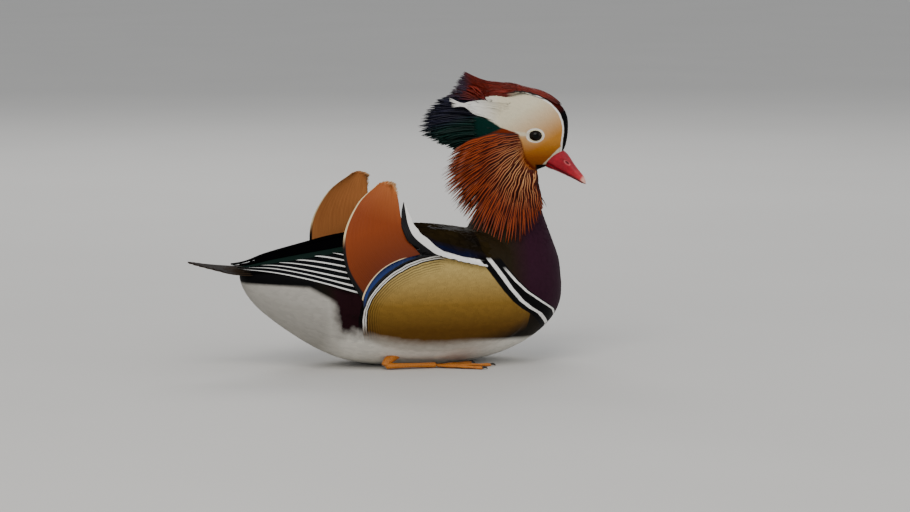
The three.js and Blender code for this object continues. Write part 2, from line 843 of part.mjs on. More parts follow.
// The surface of a body, with its corners on a grid of a thousandth of a millimetre.
function surface(body) {
  const raw = body.getMesh();
  const corners = new Float32Array(raw.vertProperties).map((value) => Math.round(value * 1e3) / 1e3);
  const geometry = new THREE.BufferGeometry();
  geometry.setAttribute("position", new THREE.BufferAttribute(corners, 3));
  geometry.setIndex(new THREE.BufferAttribute(new Uint32Array(raw.triVerts), 1));
  return geometry;
}

function add(name, look, body, fineness = 0.06) {
  let settled = largest(body).simplify(fineness);
  for (let pass = 0; pass < 3; pass++) settled = largest(solid(surface(settled)).simplify(0.01));
  const geometry = surface(settled);
  geometry.computeVertexNormals();
  const [color, roughness] = MATERIALS[look];
  const mesh = new THREE.Mesh(
    geometry,
    new THREE.MeshStandardMaterial({ color, roughness, metalness: 0 }),
  );
  mesh.name = name;
  duck.add(mesh);
}

// A geometry made on the left, as it is or mirrored to the right.
function onSide(geometry, side) {
  return side === LEFT ? geometry : geometry.clone().scale(1, -1, 1);
}

// The same, for what is built on the turned head.
function onHeadSide(geometry, side) {
  if (side === LEFT) return geometry;
  const shape = geometry.clone().translate(-NECK_X, 0, 0).rotateZ(-HEAD_TURN);
  return shape.scale(1, -1, 1).rotateZ(HEAD_TURN).translate(NECK_X, 0, 0);
}

const SIDES = [
  ["left", LEFT],
  ["right", RIGHT],
];

const feet = SIDES.map(([, side]) => foot().map((g) => onSide(g, side)));
const belly = flesh.intersect(neckCut.below).intersect(floor);
add("torso", "trunk", without(belly, feet.flat().map((g) => grown(g))), 0.09);
add("neck", "neck", flesh.intersect(neckCut.above).intersect(headCut.below));

const face = union([
  flesh.intersect(headCut.above),
  ...SIDES.map(([, side]) => solid(lids(side)).subtract(headCut.below)),
]);
add(
  "head",
  "head",
  without(face, [grown(billShape()), ...SIDES.map(([, side]) => solid(eyeball(side, GAP)))]),
);

const bill = billParts();
const faceGrown = fleshGrown[2];
const all = (geometries) => union(geometries.map(solid));
const allGrown = (geometries) => union(geometries.map((g) => grown(g)));
add("bill_upper", "bill", bill.upper);
add("bill_nail", "nail", bill.nail);
add("bill_lower", "bill", bill.lower);
const crownGrown = allGrown(crownCrest());
const napeGrown = allGrown(napeCrest());
const tailGrown = all(tail(GROWN));
add("crest_crown", "crest", without(all(crownCrest()), [faceGrown]));
add("crest_nape", "nape", without(all(napeCrest()), [faceGrown, crownGrown]), 0.14);
add("tail", "tail", without(all(tail()), [fleshGrown[0]]), 0.1);

for (const [name, side] of SIDES) {
  const headSided = (list) => list.map((g) => onHeadSide(g, side));
  const sided = (list) => list.map((g) => onSide(g, side));
  add("eye_" + name, "eye", solid(eyeball(side)));
  add("brow_" + name, "white", without(all(headSided(browPlume())), [faceGrown, crownGrown, napeGrown]));
  const browGrown = allGrown(headSided(browPlume()));
  const beside = [...fleshGrown, napeGrown, browGrown];
  add("ruff_" + name, "ruff", without(all(headSided(ruff())), beside), 0.2);
  const hackles = allGrown(headSided(ruff()));
  const onBody = [fleshGrown[0], fleshGrown[1], hackles];
  add("flank_" + name, "flank", without(solid(onSide(flankPlate(), side)), onBody));
  const flank = grown(onSide(flankPlate(), side));
  const wing = sided([wingPlate(), ...coverts(), ...flightFeathers()]);
  add("wing_" + name, "wing", without(all(wing), [...onBody, flank, tailGrown]), 0.15);
  const wingGrown = allGrown(wing);
  const sail = onSide(sailPlate(), side);
  add("sail_" + name, "sail", without(solid(sail), [fleshGrown[0], flank, wingGrown]));
  const plume = solid(onSide(plumePlate(), side));
  add("plume_" + name, "white", without(plume, [...onBody, flank, wingGrown, grown(sail)]));
  const [leg, toes] = [sided(shank()), sided(foot())];
  add("leg_" + name, "leg", without(all(leg), [fleshGrown[0], allGrown(toes)]).intersect(floor));
  add("foot_" + name, "leg", all(toes).intersect(floor));
}

export default duck;
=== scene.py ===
import math
import bmesh
import bpy
import numpy as np
from mathutils import Matrix, Vector
from mathutils.bvhtree import BVHTree


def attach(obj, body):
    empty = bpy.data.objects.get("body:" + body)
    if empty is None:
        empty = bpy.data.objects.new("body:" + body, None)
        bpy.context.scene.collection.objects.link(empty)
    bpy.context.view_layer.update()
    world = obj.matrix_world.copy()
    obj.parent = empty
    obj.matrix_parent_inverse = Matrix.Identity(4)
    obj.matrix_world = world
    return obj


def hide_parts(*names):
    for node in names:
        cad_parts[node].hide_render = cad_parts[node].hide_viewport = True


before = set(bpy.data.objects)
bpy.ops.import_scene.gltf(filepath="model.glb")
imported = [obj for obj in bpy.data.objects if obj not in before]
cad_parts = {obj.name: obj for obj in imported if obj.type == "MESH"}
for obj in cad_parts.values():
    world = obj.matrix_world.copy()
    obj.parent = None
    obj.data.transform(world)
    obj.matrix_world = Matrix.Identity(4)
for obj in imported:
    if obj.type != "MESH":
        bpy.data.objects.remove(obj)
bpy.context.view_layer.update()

# Shapes are worked out in millimetres, +X to the breast, +Y to the bird's left, and scaled at the end.
mm = 0.001
rng = np.random.default_rng(7)


def spread(low, high, count):
    return rng.uniform(low, high, count)


def mix(a, b, t):
    return a + (b - a) * t


def clip01(value):
    return np.clip(value, 0, 1)


def unit(v):
    return v / np.maximum(np.linalg.norm(v, axis=-1, keepdims=True), 1e-9)


def stack(x, y, z):
    return np.stack(np.broadcast_arrays(x, y, z), -1).astype(float)


# The body's own curves.

body = {
    "rear": -136, "front": 121.5, "fullness": 3.5, "back": 2.5, "belly": 2.0,
    "x": [-136, -113, -57, 0, 60, 121.5],
    "rise": [14, 26, 45, 55, 54, 51],
    "drop": [38, 39, 50, 52.5, 50, 45],
    "beam": [36, 42, 56, 60.5, 60.5, 62],
    "level": [73, 66, 54, 50, 50, 54],
}
wingTip = {
    "x": [-160, -133, -113, -83, -57, -30],
    "rise": [2, 9, 21, 36, 47.5, 53],
    "drop": [6, 20, 28, 40, 49, 51],
    "beam": [5, 15, 29, 46, 59, 63],
    "level": [80, 74, 68, 60, 54, 52],
}
neckLine = {
    "z": [28, 54, 68, 80, 97, 110, 124, 138, 155, 176],
    "axis": [64, 69.5, 71.5, 73.7, 77.7, 79.9, 80.5, 81.5, 79, 78],
    "reach": [42, 51.5, 49.5, 46, 36, 29, 24, 20.5, 19.5, 16],
    "beam": [46, 52, 49, 44.5, 34, 27, 22.5, 19.5, 18.5, 15],
}
skull = {
    "nape": -34, "brow": 46.3, "fullness": 2.6,
    "d": [-34, -18, 8, 24, 38, 46.3],
    "rise": [34, 38, 41.5, 38, 33, 31],
    "drop": [33, 27, 27, 27.5, 34, 47],
    "beam": [22, 21, 19, 18, 18.6, 22.5],
    "level": [188, 177, 171.5, 174.5, 180, 184],
}
flankShape = {
    "rear": -53, "front": 80, "thick": 3.2,
    "x": [-53, -40, -8, 45, 68, 80],
    "edge": [-8, 18, 37, 27, 8, -14],
    "under": [-17, -34, -43, -43, -38, -25],
}
wingShape = {"front": 66, "rear": -60, "thick": 6.5, "top": 80}
eye = {"along": 20, "height": 176.6, "aside": 12.6, "radius": 6.0, "tall": 0.86}
headTurn = math.radians(-15.5)
neckX = 80.9
bothSides = (("left", 1), ("right", -1))


def between(at, xs, ys):
    # smooth through every station, and level beyond the first and the last
    xs, ys, at = np.asarray(xs, float), np.asarray(ys, float), np.asarray(at, float)
    slopes = np.empty(len(xs))
    slopes[1:-1] = (ys[2:] - ys[:-2]) / (xs[2:] - xs[:-2])
    slopes[0] = (ys[1] - ys[0]) / (xs[1] - xs[0])
    slopes[-1] = (ys[-1] - ys[-2]) / (xs[-1] - xs[-2])
    i = np.clip(np.searchsorted(xs, at) - 1, 0, len(xs) - 2)
    span = xs[i + 1] - xs[i]
    t = clip01((at - xs[i]) / span)
    return (ys[i] * (1 + 2 * t) * (1 - t) ** 2 + span * slopes[i] * t * (1 - t) ** 2
            + ys[i + 1] * t * t * (3 - 2 * t) - span * slopes[i + 1] * t * t * (1 - t))


def roundEnd(at, low, high, fullness):
    reach = np.minimum(np.abs((2 * at - low - high) / (high - low)), 1)
    return np.sqrt(1 - reach ** fullness)


def bulge(value, power):
    return np.sign(value) * np.abs(value) ** (2 / power)


def shell(shape, size, x, turn, lift=0.0):
    up = np.sin(turn)
    power = np.where(up >= 0, body["back"], body["belly"])
    y = (between(x, shape["x"], shape["beam"]) * size + lift) * bulge(np.cos(turn), power)
    tall = np.where(up >= 0, between(x, shape["x"], shape["rise"]),
                    between(x, shape["x"], shape["drop"])) * size + lift
    return stack(x, y, between(x, shape["x"], shape["level"]) + tall * bulge(up, power))


def onTrunk(x, angle, lift=0.0):
    size = roundEnd(x, body["rear"], body["front"], body["fullness"])
    return shell(body, size, x, np.radians(angle), lift)


def headPoint(along, aside, height):
    c, s = math.cos(headTurn), math.sin(headTurn)
    return stack(neckX + along * c - aside * s, along * s + aside * c, height)


def headWay(along, aside, up):
    # a direction, told in the turned head's own axes
    return headPoint(along, aside, up) - headPoint(0, 0, 0)


def headAlong(x, y):
    # how far ahead of the neck's axis the turned head measures it, of numbers or of sockets
    return (x - neckX) * math.cos(headTurn) + y * math.sin(headTurn)


def headAside(x, y):
    return y * math.cos(headTurn) - (x - neckX) * math.sin(headTurn)


def onHead(along, turn, lift=0.0):
    size = roundEnd(along, skull["nape"], skull["brow"], skull["fullness"])
    up = np.sin(turn)
    tall = np.where(up >= 0, between(along, skull["d"], skull["rise"]),
                    between(along, skull["d"], skull["drop"])) * size + lift
    beam = between(along, skull["d"], skull["beam"]) * size + lift
    return headPoint(along, beam * np.cos(turn), between(along, skull["d"], skull["level"]) + tall * up)


def besideHead(along, height):
    size = roundEnd(along, skull["nape"], skull["brow"], skull["fullness"])
    level = between(along, skull["d"], skull["level"])
    tall = np.where(height > level, between(along, skull["d"], skull["rise"]),
                    between(along, skull["d"], skull["drop"])) * size
    up = np.minimum(np.abs(height - level) / np.maximum(tall, 1), 1)
    return between(along, skull["d"], skull["beam"]) * size * np.sqrt(1 - up * up)


def curve(points, t):
    # a smooth curve through points of shape (..., n, 3), at t from 0 to 1
    points = np.asarray(points, float)
    n = points.shape[-2]
    place = np.asarray(t) * (n - 1)
    i = np.clip(np.floor(place).astype(int), 0, n - 2)
    f = (place - i)[..., None]

    def at(k):
        k = np.clip(k, 0, n - 1)
        if points.ndim == 2:
            return points[k]
        return np.take_along_axis(points, np.broadcast_to(k[..., None], k.shape + (3,)), axis=-2)

    a, b, c, d = at(i - 1), at(i), at(i + 1), at(i + 2)
    return 0.5 * (2 * b + (c - a) * f + (2 * a - 5 * b + 4 * c - d) * f ** 2
                  + (3 * b - a - 3 * c + d) * f ** 3)


def heading(points, t):
    # the way that curve runs at t
    return unit(curve(points, np.minimum(t + 0.02, 1)) - curve(points, np.maximum(t - 0.02, 0)))


def local(points):
    # along, aside and height as the turned head measures them
    x, y = points[..., 0], points[..., 1]
    return headAlong(x, y), headAside(x, y), points[..., 2]


# Mesh making.

def sphereBase(sides, rings):
    # a round form whose rings are laid along whatever carries it: t from end to end, turn about it
    bm = bmesh.new()
    bmesh.ops.create_uvsphere(bm, u_segments=sides, v_segments=rings, radius=1)
    co = np.array([v.co for v in bm.verts])
    base = {"t": np.arccos(np.clip(-co[:, 2], -1, 1)) / math.pi, "turn": np.arctan2(co[:, 1], co[:, 0]),
            "pole": np.hypot(co[:, 0], co[:, 1]) < 1e-5,
            "faces": [[v.index for v in f.verts] for f in bm.faces]}
    bm.free()
    base["across"] = np.where(base["pole"], 0, np.cos(base["turn"]))
    return base


def bladeBase(along, across):
    # a thin closed sheet: t along it, across it from -1 to 1, and which face
    bm = bmesh.new()
    bmesh.ops.create_grid(bm, x_segments=along, y_segments=across, size=0.5)
    bmesh.ops.solidify(bm, geom=bm.faces[:], thickness=0.1)
    bmesh.ops.recalc_face_normals(bm, faces=bm.faces[:])
    co = np.array([v.co for v in bm.verts])
    middle = (co[:, 2].max() + co[:, 2].min()) / 2
    base = {"t": co[:, 0] + 0.5, "across": co[:, 1] * 2, "face": np.sign(co[:, 2] - middle),
            "faces": [[v.index for v in f.verts] for f in bm.faces]}
    bm.free()
    return base


def roundTip(t, start, least):
    # full width as far as start, then round to the tip, but never nothing
    past = np.maximum((t - start) / (1 - start), 0)
    return np.maximum(np.sqrt(np.maximum(1 - past ** 2, 0)), least)


def unwrap(points):
    # a flat map of the skin's own shape: trunk, neck and head each in a strip of their own
    def around(up, out):
        return np.arctan2(up, out) / (2 * math.pi) + 0.5

    x, y = points[..., 0], points[..., 1]
    along, aside, z = local(points)
    trunk = stack((x + 180) / 310, 0.02 + 0.46 * around(z - 52, y), 0)
    neck = stack(0.02 + 0.45 * around(x - 78, y), 0.5 + (z - 80) / 180, 0)
    head = stack(0.5 + (along + 80) / 280, 0.52 + 0.44 * around(z - 178, aside), 0)
    pick = np.where((z > 150)[..., None], head, np.where((z > 98)[..., None], neck, trunk))
    return pick[..., :2]


tuftPatch = 0.003


def asPiece(name, mesh, material, slot, *nodes):
    piece = bpy.data.objects.new(name, mesh)
    bpy.context.scene.collection.objects.link(piece)
    mesh.materials.append(material)
    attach(piece, "root")
    if nodes:
        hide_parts(*nodes)
    return piece


def joined(name, base, points, roots=None, tone=None, bearing=None, smooth=True):
    # one mesh of many copies of a base, each with its own points in millimetres
    count, verts = points.shape[0], points.shape[1]
    sizes = np.array([len(f) for f in base["faces"]])
    loops = np.array([i for f in base["faces"] for i in f])
    mesh = bpy.data.meshes.new(name)
    mesh.vertices.add(count * verts)
    mesh.vertices.foreach_set("co", (points * mm).astype(np.float32).ravel())
    mesh.loops.add(count * len(loops))
    corner = (loops[None, :] + np.arange(count)[:, None] * verts).ravel()
    mesh.loops.foreach_set("vertex_index", corner.astype(np.int32))
    mesh.polygons.add(count * len(sizes))
    allSizes = np.tile(sizes, count)
    mesh.polygons.foreach_set("loop_start", (np.cumsum(allSizes) - allSizes).astype(np.int32))
    mesh.polygons.foreach_set("loop_total", allSizes.astype(np.int32))
    mesh.polygons.foreach_set("use_smooth", np.full(len(allSizes), smooth))
    tone = rng.uniform(0, 1, count) if tone is None else tone
    values = {"tone": np.repeat(tone, verts), "along": np.tile(base["t"], count),
              "across": np.tile(base["across"], count)}
    if "face" in base:
        values["face"] = np.tile(base["face"], count)
    for key, value in values.items():
        mesh.attributes.new(key, "FLOAT", "POINT").data.foreach_set("value", value.astype(np.float32))
    if roots is not None:
        home = mesh.attributes.new("root", "FLOAT_VECTOR", "POINT")
        home.data.foreach_set("vector", (np.repeat(roots, verts, 0) * mm).astype(np.float32).ravel())
        at = unwrap(roots)[:, None, :]
        patch = tuftPatch * np.stack([base["t"] - 0.5, base["across"] * 0.5], -1)[None]
        uv = (at + patch).reshape(-1, 2)[corner]
        mesh.uv_layers.new(name="OFBake").data.foreach_set("uv", uv.astype(np.float32).ravel())
    if bearing is not None:
        lean = mesh.attributes.new("bearing", "FLOAT_VECTOR", "POINT")
        lean.data.foreach_set("vector", bearing.astype(np.float32).ravel())
    mesh.update()
    mesh.validate()
    bm = bmesh.new()
    bm.from_mesh(mesh)
    if count == 1 or bm.calc_volume(signed=True) < 0:
        bmesh.ops.recalc_face_normals(bm, faces=bm.faces[:])
        if bm.calc_volume(signed=True) < 0:
            bmesh.ops.reverse_faces(bm, faces=bm.faces[:])
        bm.to_mesh(mesh)
    bm.free()
    return mesh


def swell(t, early, full=0.75):
    return np.sin(math.pi * np.clip(t, 0, 1) ** early) ** full


def locks(base, paths, width, thick, outward, early):
    # flat tapered locks along curves: paths (n, k, 3), width and thick (n,), outward (n, 3)
    t = np.broadcast_to(base["t"], (len(paths), len(base["t"])))
    way = heading(paths, t)
    aside = unit(np.cross(outward[:, None, :], way))
    out = np.cross(way, aside)
    size = np.where(base["pole"], 0, swell(base["t"], early))[None, :, None]
    turn = base["turn"][None, :, None]
    return (curve(paths, t) + aside * width[:, None, None] * size * np.cos(turn)
            + out * thick[:, None, None] * size * np.sin(turn))


# Materials.

def paint(r, g, b):
    def straight(c):
        c /= 255
        return c / 12.92 if c <= 0.04045 else ((c + 0.055) / 1.055) ** 2.4
    return (straight(r), straight(g), straight(b), 1.0)


class Wire:
    # a socket that can be reckoned with
    def __init__(self, tree, socket):
        self.tree = tree
        self.socket = socket

    def __add__(self, other):
        return self.tree.maths("ADD", self, other)

    def __radd__(self, other):
        return self.tree.maths("ADD", other, self)

    def __sub__(self, other):
        return self.tree.maths("SUBTRACT", self, other)

    def __rsub__(self, other):
        return self.tree.maths("SUBTRACT", other, self)

    def __mul__(self, other):
        return self.tree.maths("MULTIPLY", self, other)

    def __rmul__(self, other):
        return self.tree.maths("MULTIPLY", other, self)

    def __truediv__(self, other):
        return self.tree.maths("DIVIDE", self, other)

    def __rtruediv__(self, other):
        return self.tree.maths("DIVIDE", other, self)

    def size(self):
        return self.tree.maths("ABSOLUTE", self)


class Finish:
    def __init__(self, name, **shader):
        self.material = bpy.data.materials.new(name)
        self.material.use_nodes = True
        self.nodes = self.material.node_tree.nodes
        self.links = self.material.node_tree.links
        self.nodes.clear()
        self.shader = self.nodes.new("ShaderNodeBsdfPrincipled")
        output = self.nodes.new("ShaderNodeOutputMaterial")
        self.links.new(self.shader.outputs[0], output.inputs[0])
        for key, value in shader.items():
            self.shader.inputs[key.replace("_", " ")].default_value = value
        self.place = None

    def put(self, socket, value):
        if isinstance(value, Wire):
            self.links.new(value.socket, socket)
        elif value is not None:
            socket.default_value = value

    def node(self, kind, settings=None, sockets=None, out=0):
        made = self.nodes.new("ShaderNode" + kind)
        for key, value in (settings or {}).items():
            setattr(made, key, value)
        for key, value in (sockets or {}).items():
            self.put(made.inputs[key], value)
        return Wire(self, made.outputs[out])

    def maths(self, operation, *values):
        return self.node("Math", {"operation": operation}, dict(enumerate(values)))

    def blend(self, factor, a, b, kind="MIX"):
        return self.node("Mix", {"data_type": "RGBA", "blend_type": kind}, {0: factor, 6: a, 7: b}, out=2)

    def ramp(self, value, low, high, a=0.0, b=1.0):
        return self.node("MapRange", {"clamp": True}, {0: value, 1: low, 2: high, 3: a, 4: b})

    def band(self, value, low, high, soft=0.3):
        risen = self.ramp(value, low - soft, low + soft)
        return risen * self.ramp(value, high - soft, high + soft, 1.0, 0.0)

    def along(self, value, points):
        # straight from station to station
        total = points[0][1]
        for (x0, y0), (x1, y1) in zip(points, points[1:]):
            total = self.ramp(value, x0, x1, 0.0, y1 - y0) + total
        return total

    def reach(self, a, b):
        return self.maths("SQRT", a * a + b * b)

    def scaled(self, vector, value):
        return self.node("VectorMath", {"operation": "SCALE"}, {0: vector, "Scale": value})

    def attribute(self, name, out="Fac"):
        made = self.nodes.new("ShaderNodeAttribute")
        made.attribute_name = name
        return Wire(self, made.outputs[out])

    def position(self, rooted=0.0, fray=0.0):
        # where the surface is, in millimetres, drawn towards the feather's root and frayed a little
        at = self.node("TexCoord", out="Object")
        if rooted:
            at = self.node("Mix", {"data_type": "VECTOR"},
                           {0: rooted, 4: at, 5: self.attribute("root", "Vector")}, out=1)
        at = self.scaled(at, 1 / mm)
        if fray:
            wander = self.noise(at, 0.35, 2, out="Color")
            wander = self.node("VectorMath", {"operation": "SUBTRACT"}, {0: wander, 1: (0.5, 0.5, 0.5)})
            at = self.node("VectorMath", {"operation": "ADD"}, {0: at, 1: self.scaled(wander, fray)})
        self.place = at
        split = self.nodes.new("ShaderNodeSeparateXYZ")
        self.put(split.inputs[0], at)
        return [Wire(self, split.outputs[i]) for i in range(3)]

    def noise(self, at, scale, detail=2, out="Fac"):
        made = self.nodes.new("ShaderNodeTexNoise")
        self.put(made.inputs["Vector"], at)
        made.inputs["Scale"].default_value = scale
        made.inputs["Detail"].default_value = detail
        return Wire(self, made.outputs[out])

    def bump(self, height, strength, distance, normal=None):
        return self.node("Bump", None, {"Height": height, "Strength": strength, "Distance": distance * mm,
                                        "Normal": normal})

    def barbs(self, phase, strength, distance, normal=None):
        return self.bump(self.maths("SINE", phase), strength, distance, normal)

    def set(self, **values):
        for key, value in values.items():
            self.put(self.shader.inputs[key.replace("_", " ")], value)
        return self.material


plumes = {
    "cream": paint(212, 202, 174), "gold": paint(182, 122, 48), "cheek": paint(142, 76, 20),
    "white": paint(236, 234, 228), "black": paint(4, 4, 5), "chestnut": paint(104, 24, 8),
    "plum": paint(50, 34, 50), "green": paint(2, 38, 32), "navy": paint(14, 14, 36),
    "hackle": paint(112, 38, 10), "hackleDark": paint(44, 10, 3), "maroon": paint(44, 16, 32),
    "neck": paint(30, 12, 16), "backDark": paint(14, 12, 10), "belly": paint(224, 220, 210),
    "under": paint(170, 166, 158), "buff": paint(176, 152, 92), "buffMid": paint(130, 98, 40),
    "buffLow": paint(92, 62, 20), "patch": paint(30, 8, 14), "blue": paint(12, 19, 46),
    "slate": paint(20, 34, 30), "bronze": paint(34, 26, 12),
}
degrees = 180 / math.pi

# Outlines of the markings. The rims of the flank and the face are pairs of angle and reach about a centre,
# with the flank's angle from straight up and the face's from straight ahead. The piping is from, to and
# colour. The belly's edge and the white band are pairs of x and height, and the bars and the face's rear
# edge of height and x.
flankCentre = (8, 44)
flankRim = [(-125, 62), (-110, 59.5), (-100, 59.8), (-90.9, 59.8), (-84.5, 59.8), (-75.4, 57.9),
            (-65.9, 54.8), (-54, 51.3), (-39.8, 47.6), (-25.3, 45.6), (-11.6, 44.9), (3.1, 45.6),
            (19.7, 43.7), (47, 52.7), (58.7, 53.9), (80, 75)]
flankPiping = [(-2.8, 0.1, "black"), (0.1, 1.3, "white"), (1.3, 1.9, "black"), (1.9, 2.7, "white"),
               (2.7, 3.4, "black")]
bellyEdge = [(-140, 72), (-90, 66), (-55, 46), (0, 26), (90, 20)]
bandRun = [(-6, 99), (-2, 96.3), (8, 90.5), (27, 84.5), (46, 80.8), (56, 78)]
barRear = [(12, 108), (30, 104), (40.7, 92.6), (46.1, 83.3), (52.4, 74.9), (62.1, 66.1), (71.7, 59.1),
           (81.8, 51.6), (92, 44)]
barFore = [(10, 122), (28, 118), (42.1, 106.7), (51.3, 91.6), (59.1, 79.7), (67.5, 70.7), (76.4, 62.8),
           (90, 52)]
faceCentre = (5, 175)
faceRim = [(-26, 60), (-21, 38), (-17.6, 37.2), (-10, 36.4), (-3.3, 36.4), (11.8, 37.6), (27.5, 38),
           (43, 37), (67.6, 34.6), (95.5, 33.4), (117.9, 35), (134.6, 42), (146, 49.5), (151, 62)]
faceRear = [(146, 22), (150, 19.3), (157.5, 11.6), (171, 8), (177.3, 4), (181, -7), (192, -24),
            (203, -37)]
headLean = 0.11


def headMarks(f, x, y, z):
    # the pale face, gold round the eye and the bill, then its edges and the dark band over the crown
    d = headAlong(x, y)
    z = z - headAside(x, y).size() * headLean
    dx, dz = d - faceCentre[0], z - faceCentre[1]
    angle = f.maths("ARCTAN2", dz, dx) * degrees
    over = f.reach(dx, dz) - f.along(angle, faceRim)
    face = f.blend(f.ramp(d * 0.6 - dz * 0.9 + 12, 0, 34), plumes["cream"], plumes["gold"])
    face = f.blend(f.ramp(z, 175.5, 171.5) * f.ramp(d, 18, 10) * 0.65, face, plumes["gold"])
    face = f.blend(f.ramp(z, 171, 158), face, plumes["cheek"])
    face = f.blend(f.ramp(d, -8, -28), face, plumes["white"])
    ring = f.reach((d - eye["along"] + 0.5) * 0.775, z - eye["height"] + 1.6)
    face = f.blend(f.ramp(ring, 5.9, 5.2) * 0.9, face, plumes["white"])
    wedge = f.band(z - 176 + (d - 12) * 0.12, -1.6, 1.2, 0.6) * f.band(d, 2, 14, 2.5)
    face = f.blend(wedge * 0.8, face, plumes["cream"])
    nape = f.blend(f.ramp(z - 180 - (d + 7) * 0.457, -1, 1), plumes["hackle"], plumes["green"])
    face = f.blend(f.ramp(f.along(z, faceRear) - d, -1.2, 1.2), face, nape)
    billEdge = (d - 38.96) * 0.711 - (z - 164.1) * 0.703
    face = f.blend(f.ramp(billEdge, -1.7, -1.3) * f.ramp(z, 168, 166), face, plumes["cream"])
    chin = f.ramp(z - 152.6 - (d - 28.6) * 0.02, 0.5, -0.3) * f.ramp(d, 19, 21)
    face = f.blend(chin, face, plumes["black"])
    face = f.blend(f.band(over, -1.3, 0.2, 0.25) * f.ramp(angle, 88, 60), face, plumes["white"])
    band = f.blend(f.ramp(angle, 26, 52), plumes["black"], plumes["chestnut"])
    band = f.blend(f.ramp(angle, 126, 146), band, plumes["plum"])
    band = f.blend(f.ramp(over, 1.5, 0.7) * f.ramp(angle, 30, 60), band, plumes["black"])
    return f.blend(f.ramp(over, -0.3, 0.3), face, band)


def backMarks(f, x, y, z, ruffled):
    # the dark back with the shoulder's blue and white, the belly, the undertail, the rump and its patch
    olive = f.noise(f.place, 0.03, 2)
    tone = f.blend(f.ramp(olive, 0.35, 0.65), plumes["backDark"], plumes["bronze"])
    aboveBand = z - f.along(x, bandRun)
    shoulder = f.ramp(y.size(), 34, 40)
    streak = f.noise(f.node("CombineXYZ", None, {0: x * 0.06, 1: aboveBand * 0.9}), 1.0, 2)
    blue = f.band(aboveBand, 2.0, 8.5, 2.0) * f.band(x, 2, 40, 9) * shoulder
    tone = f.blend(blue * f.ramp(streak, 0.3, 0.6, 0.35, 0.9), tone, plumes["blue"])
    white = f.band(aboveBand, -1.5, 3.4, 0.3) * f.band(x, 14, 45, 2) * shoulder
    tone = f.blend(white, tone, plumes["white"])
    under = f.blend(f.ramp(x, -78, -60), plumes["under"], plumes["belly"])
    tone = f.blend(f.ramp(z - f.along(x, bellyEdge), 2, -2), tone, under)
    tone = f.blend(f.band(x, -150, -84, 3) * f.band(z, 67, 82, 1.2), tone, plumes["black"])
    patch = f.band(x + (z - 50) * 0.2 + ruffled * 0.5, -72, -46, 4) * f.band(z + ruffled, 30, 70, 7)
    return f.blend(patch, tone, plumes["patch"])


def flankMarks(f, tone, x, z, ruffled, bars):
    # buff with fine waves, darker below, and piped along its upper and rear edge
    dx, dz = x - flankCentre[0], z - flankCentre[1]
    about = f.maths("ARCTAN2", dx, dz) * degrees
    edge = f.along(about, flankRim) - f.reach(dx, dz)
    aboveBelly = f.ramp(z - dx * dx * 0.0028 + ruffled * 0.3, 13, 25)
    flank = f.ramp(edge, -0.3, 0.3) * f.ramp(bars, -7.5, -8.5) * aboveBelly * f.ramp(x, -56, -52)
    buff = f.blend(f.ramp(z, 80, 52), plumes["buff"], plumes["buffMid"])
    buff = f.blend(f.ramp(z, 54, 32), buff, plumes["buffLow"])
    ripple = f.noise(f.place, 0.2, 2)
    waves = f.maths("SINE", (x + ripple * 5.0) * 6.0 + z * 0.6)
    buff = f.blend(f.ramp(waves, 0.2, 0.9) * 0.22, buff, plumes["buffLow"])
    lines = f.maths("SINE", (edge + ripple * 0.8) * 3.7)
    onEdge = f.band(about, -112, 4, 4)
    buff = f.blend(f.ramp(lines, 0.1, 0.6) * f.ramp(edge, 14, 4) * onEdge * 0.8, buff, plumes["bronze"])
    tone = f.blend(flank, tone, buff)
    onEdge = onEdge * f.ramp(z, 30, 40)
    for low, high, colour in flankPiping:
        tone = f.blend(f.band(edge, low, high, 0.15) * onEdge, tone, plumes[colour])
    return tone


def barMarks(f, tone, x, y, z, bars):
    # the maroon breast, and behind it two white bars between black ones
    breast = f.blend(f.ramp(x - z * 0.12, 58, 76), plumes["bronze"], plumes["maroon"])
    breast = f.blend(f.ramp(z, 40, 20), breast, plumes["neck"])
    tone = f.blend(f.ramp(bars, -0.5, 0.5) * f.ramp(z, 6, 12), tone, breast)
    fore = x - f.along(z, barFore)
    side = f.ramp(y.size(), 14, 26) * f.ramp(z, 10, 18)
    tone = f.blend(f.band(bars, -8, -1.6, 0.5) * f.ramp(z, 90, 84) * side, tone, plumes["black"])
    top = f.ramp(z, 86.5, 84)
    tone = f.blend(f.band(bars, -2.1, 2.0, 0.25) * top * side, tone, plumes["white"])
    middle = f.ramp(bars, 1.8, 2.2) * f.ramp(fore, 3.2, 2.4)
    tone = f.blend(middle * top * side, tone, plumes["black"])
    return f.blend(f.band(fore, -1.4, 1.2, 0.2) * f.ramp(z, 79, 74) * side, tone, plumes["white"])


def wholeMarks(f, rooted=0.0, fray=0.0):
    x, y, z = f.position(rooted, fray)
    ruffled = f.noise(f.place, 0.16, 3) * 10.0 - 5.0
    bars = x - f.along(z, barRear)
    tone = backMarks(f, x, y, z, ruffled)
    tone = flankMarks(f, tone, x, z, ruffled, bars)
    tone = barMarks(f, tone, x, y, z, bars)
    tone = f.blend(f.ramp(z + x * 0.25, 138, 148), tone, plumes["hackleDark"])
    return f.blend(f.ramp(z, 147, 149), tone, headMarks(f, x, y, z))


def softly(f, share):
    # the light falls as much on the body's own roundness as on each small feather
    normal, bearing = f.node("NewGeometry", out=1), f.attribute("bearing", "Vector")
    smooth = f.node("Mix", {"data_type": "VECTOR"}, {0: share, 4: normal, 5: bearing}, out=1)
    return f.node("VectorMath", {"operation": "NORMALIZE"}, {0: smooth})


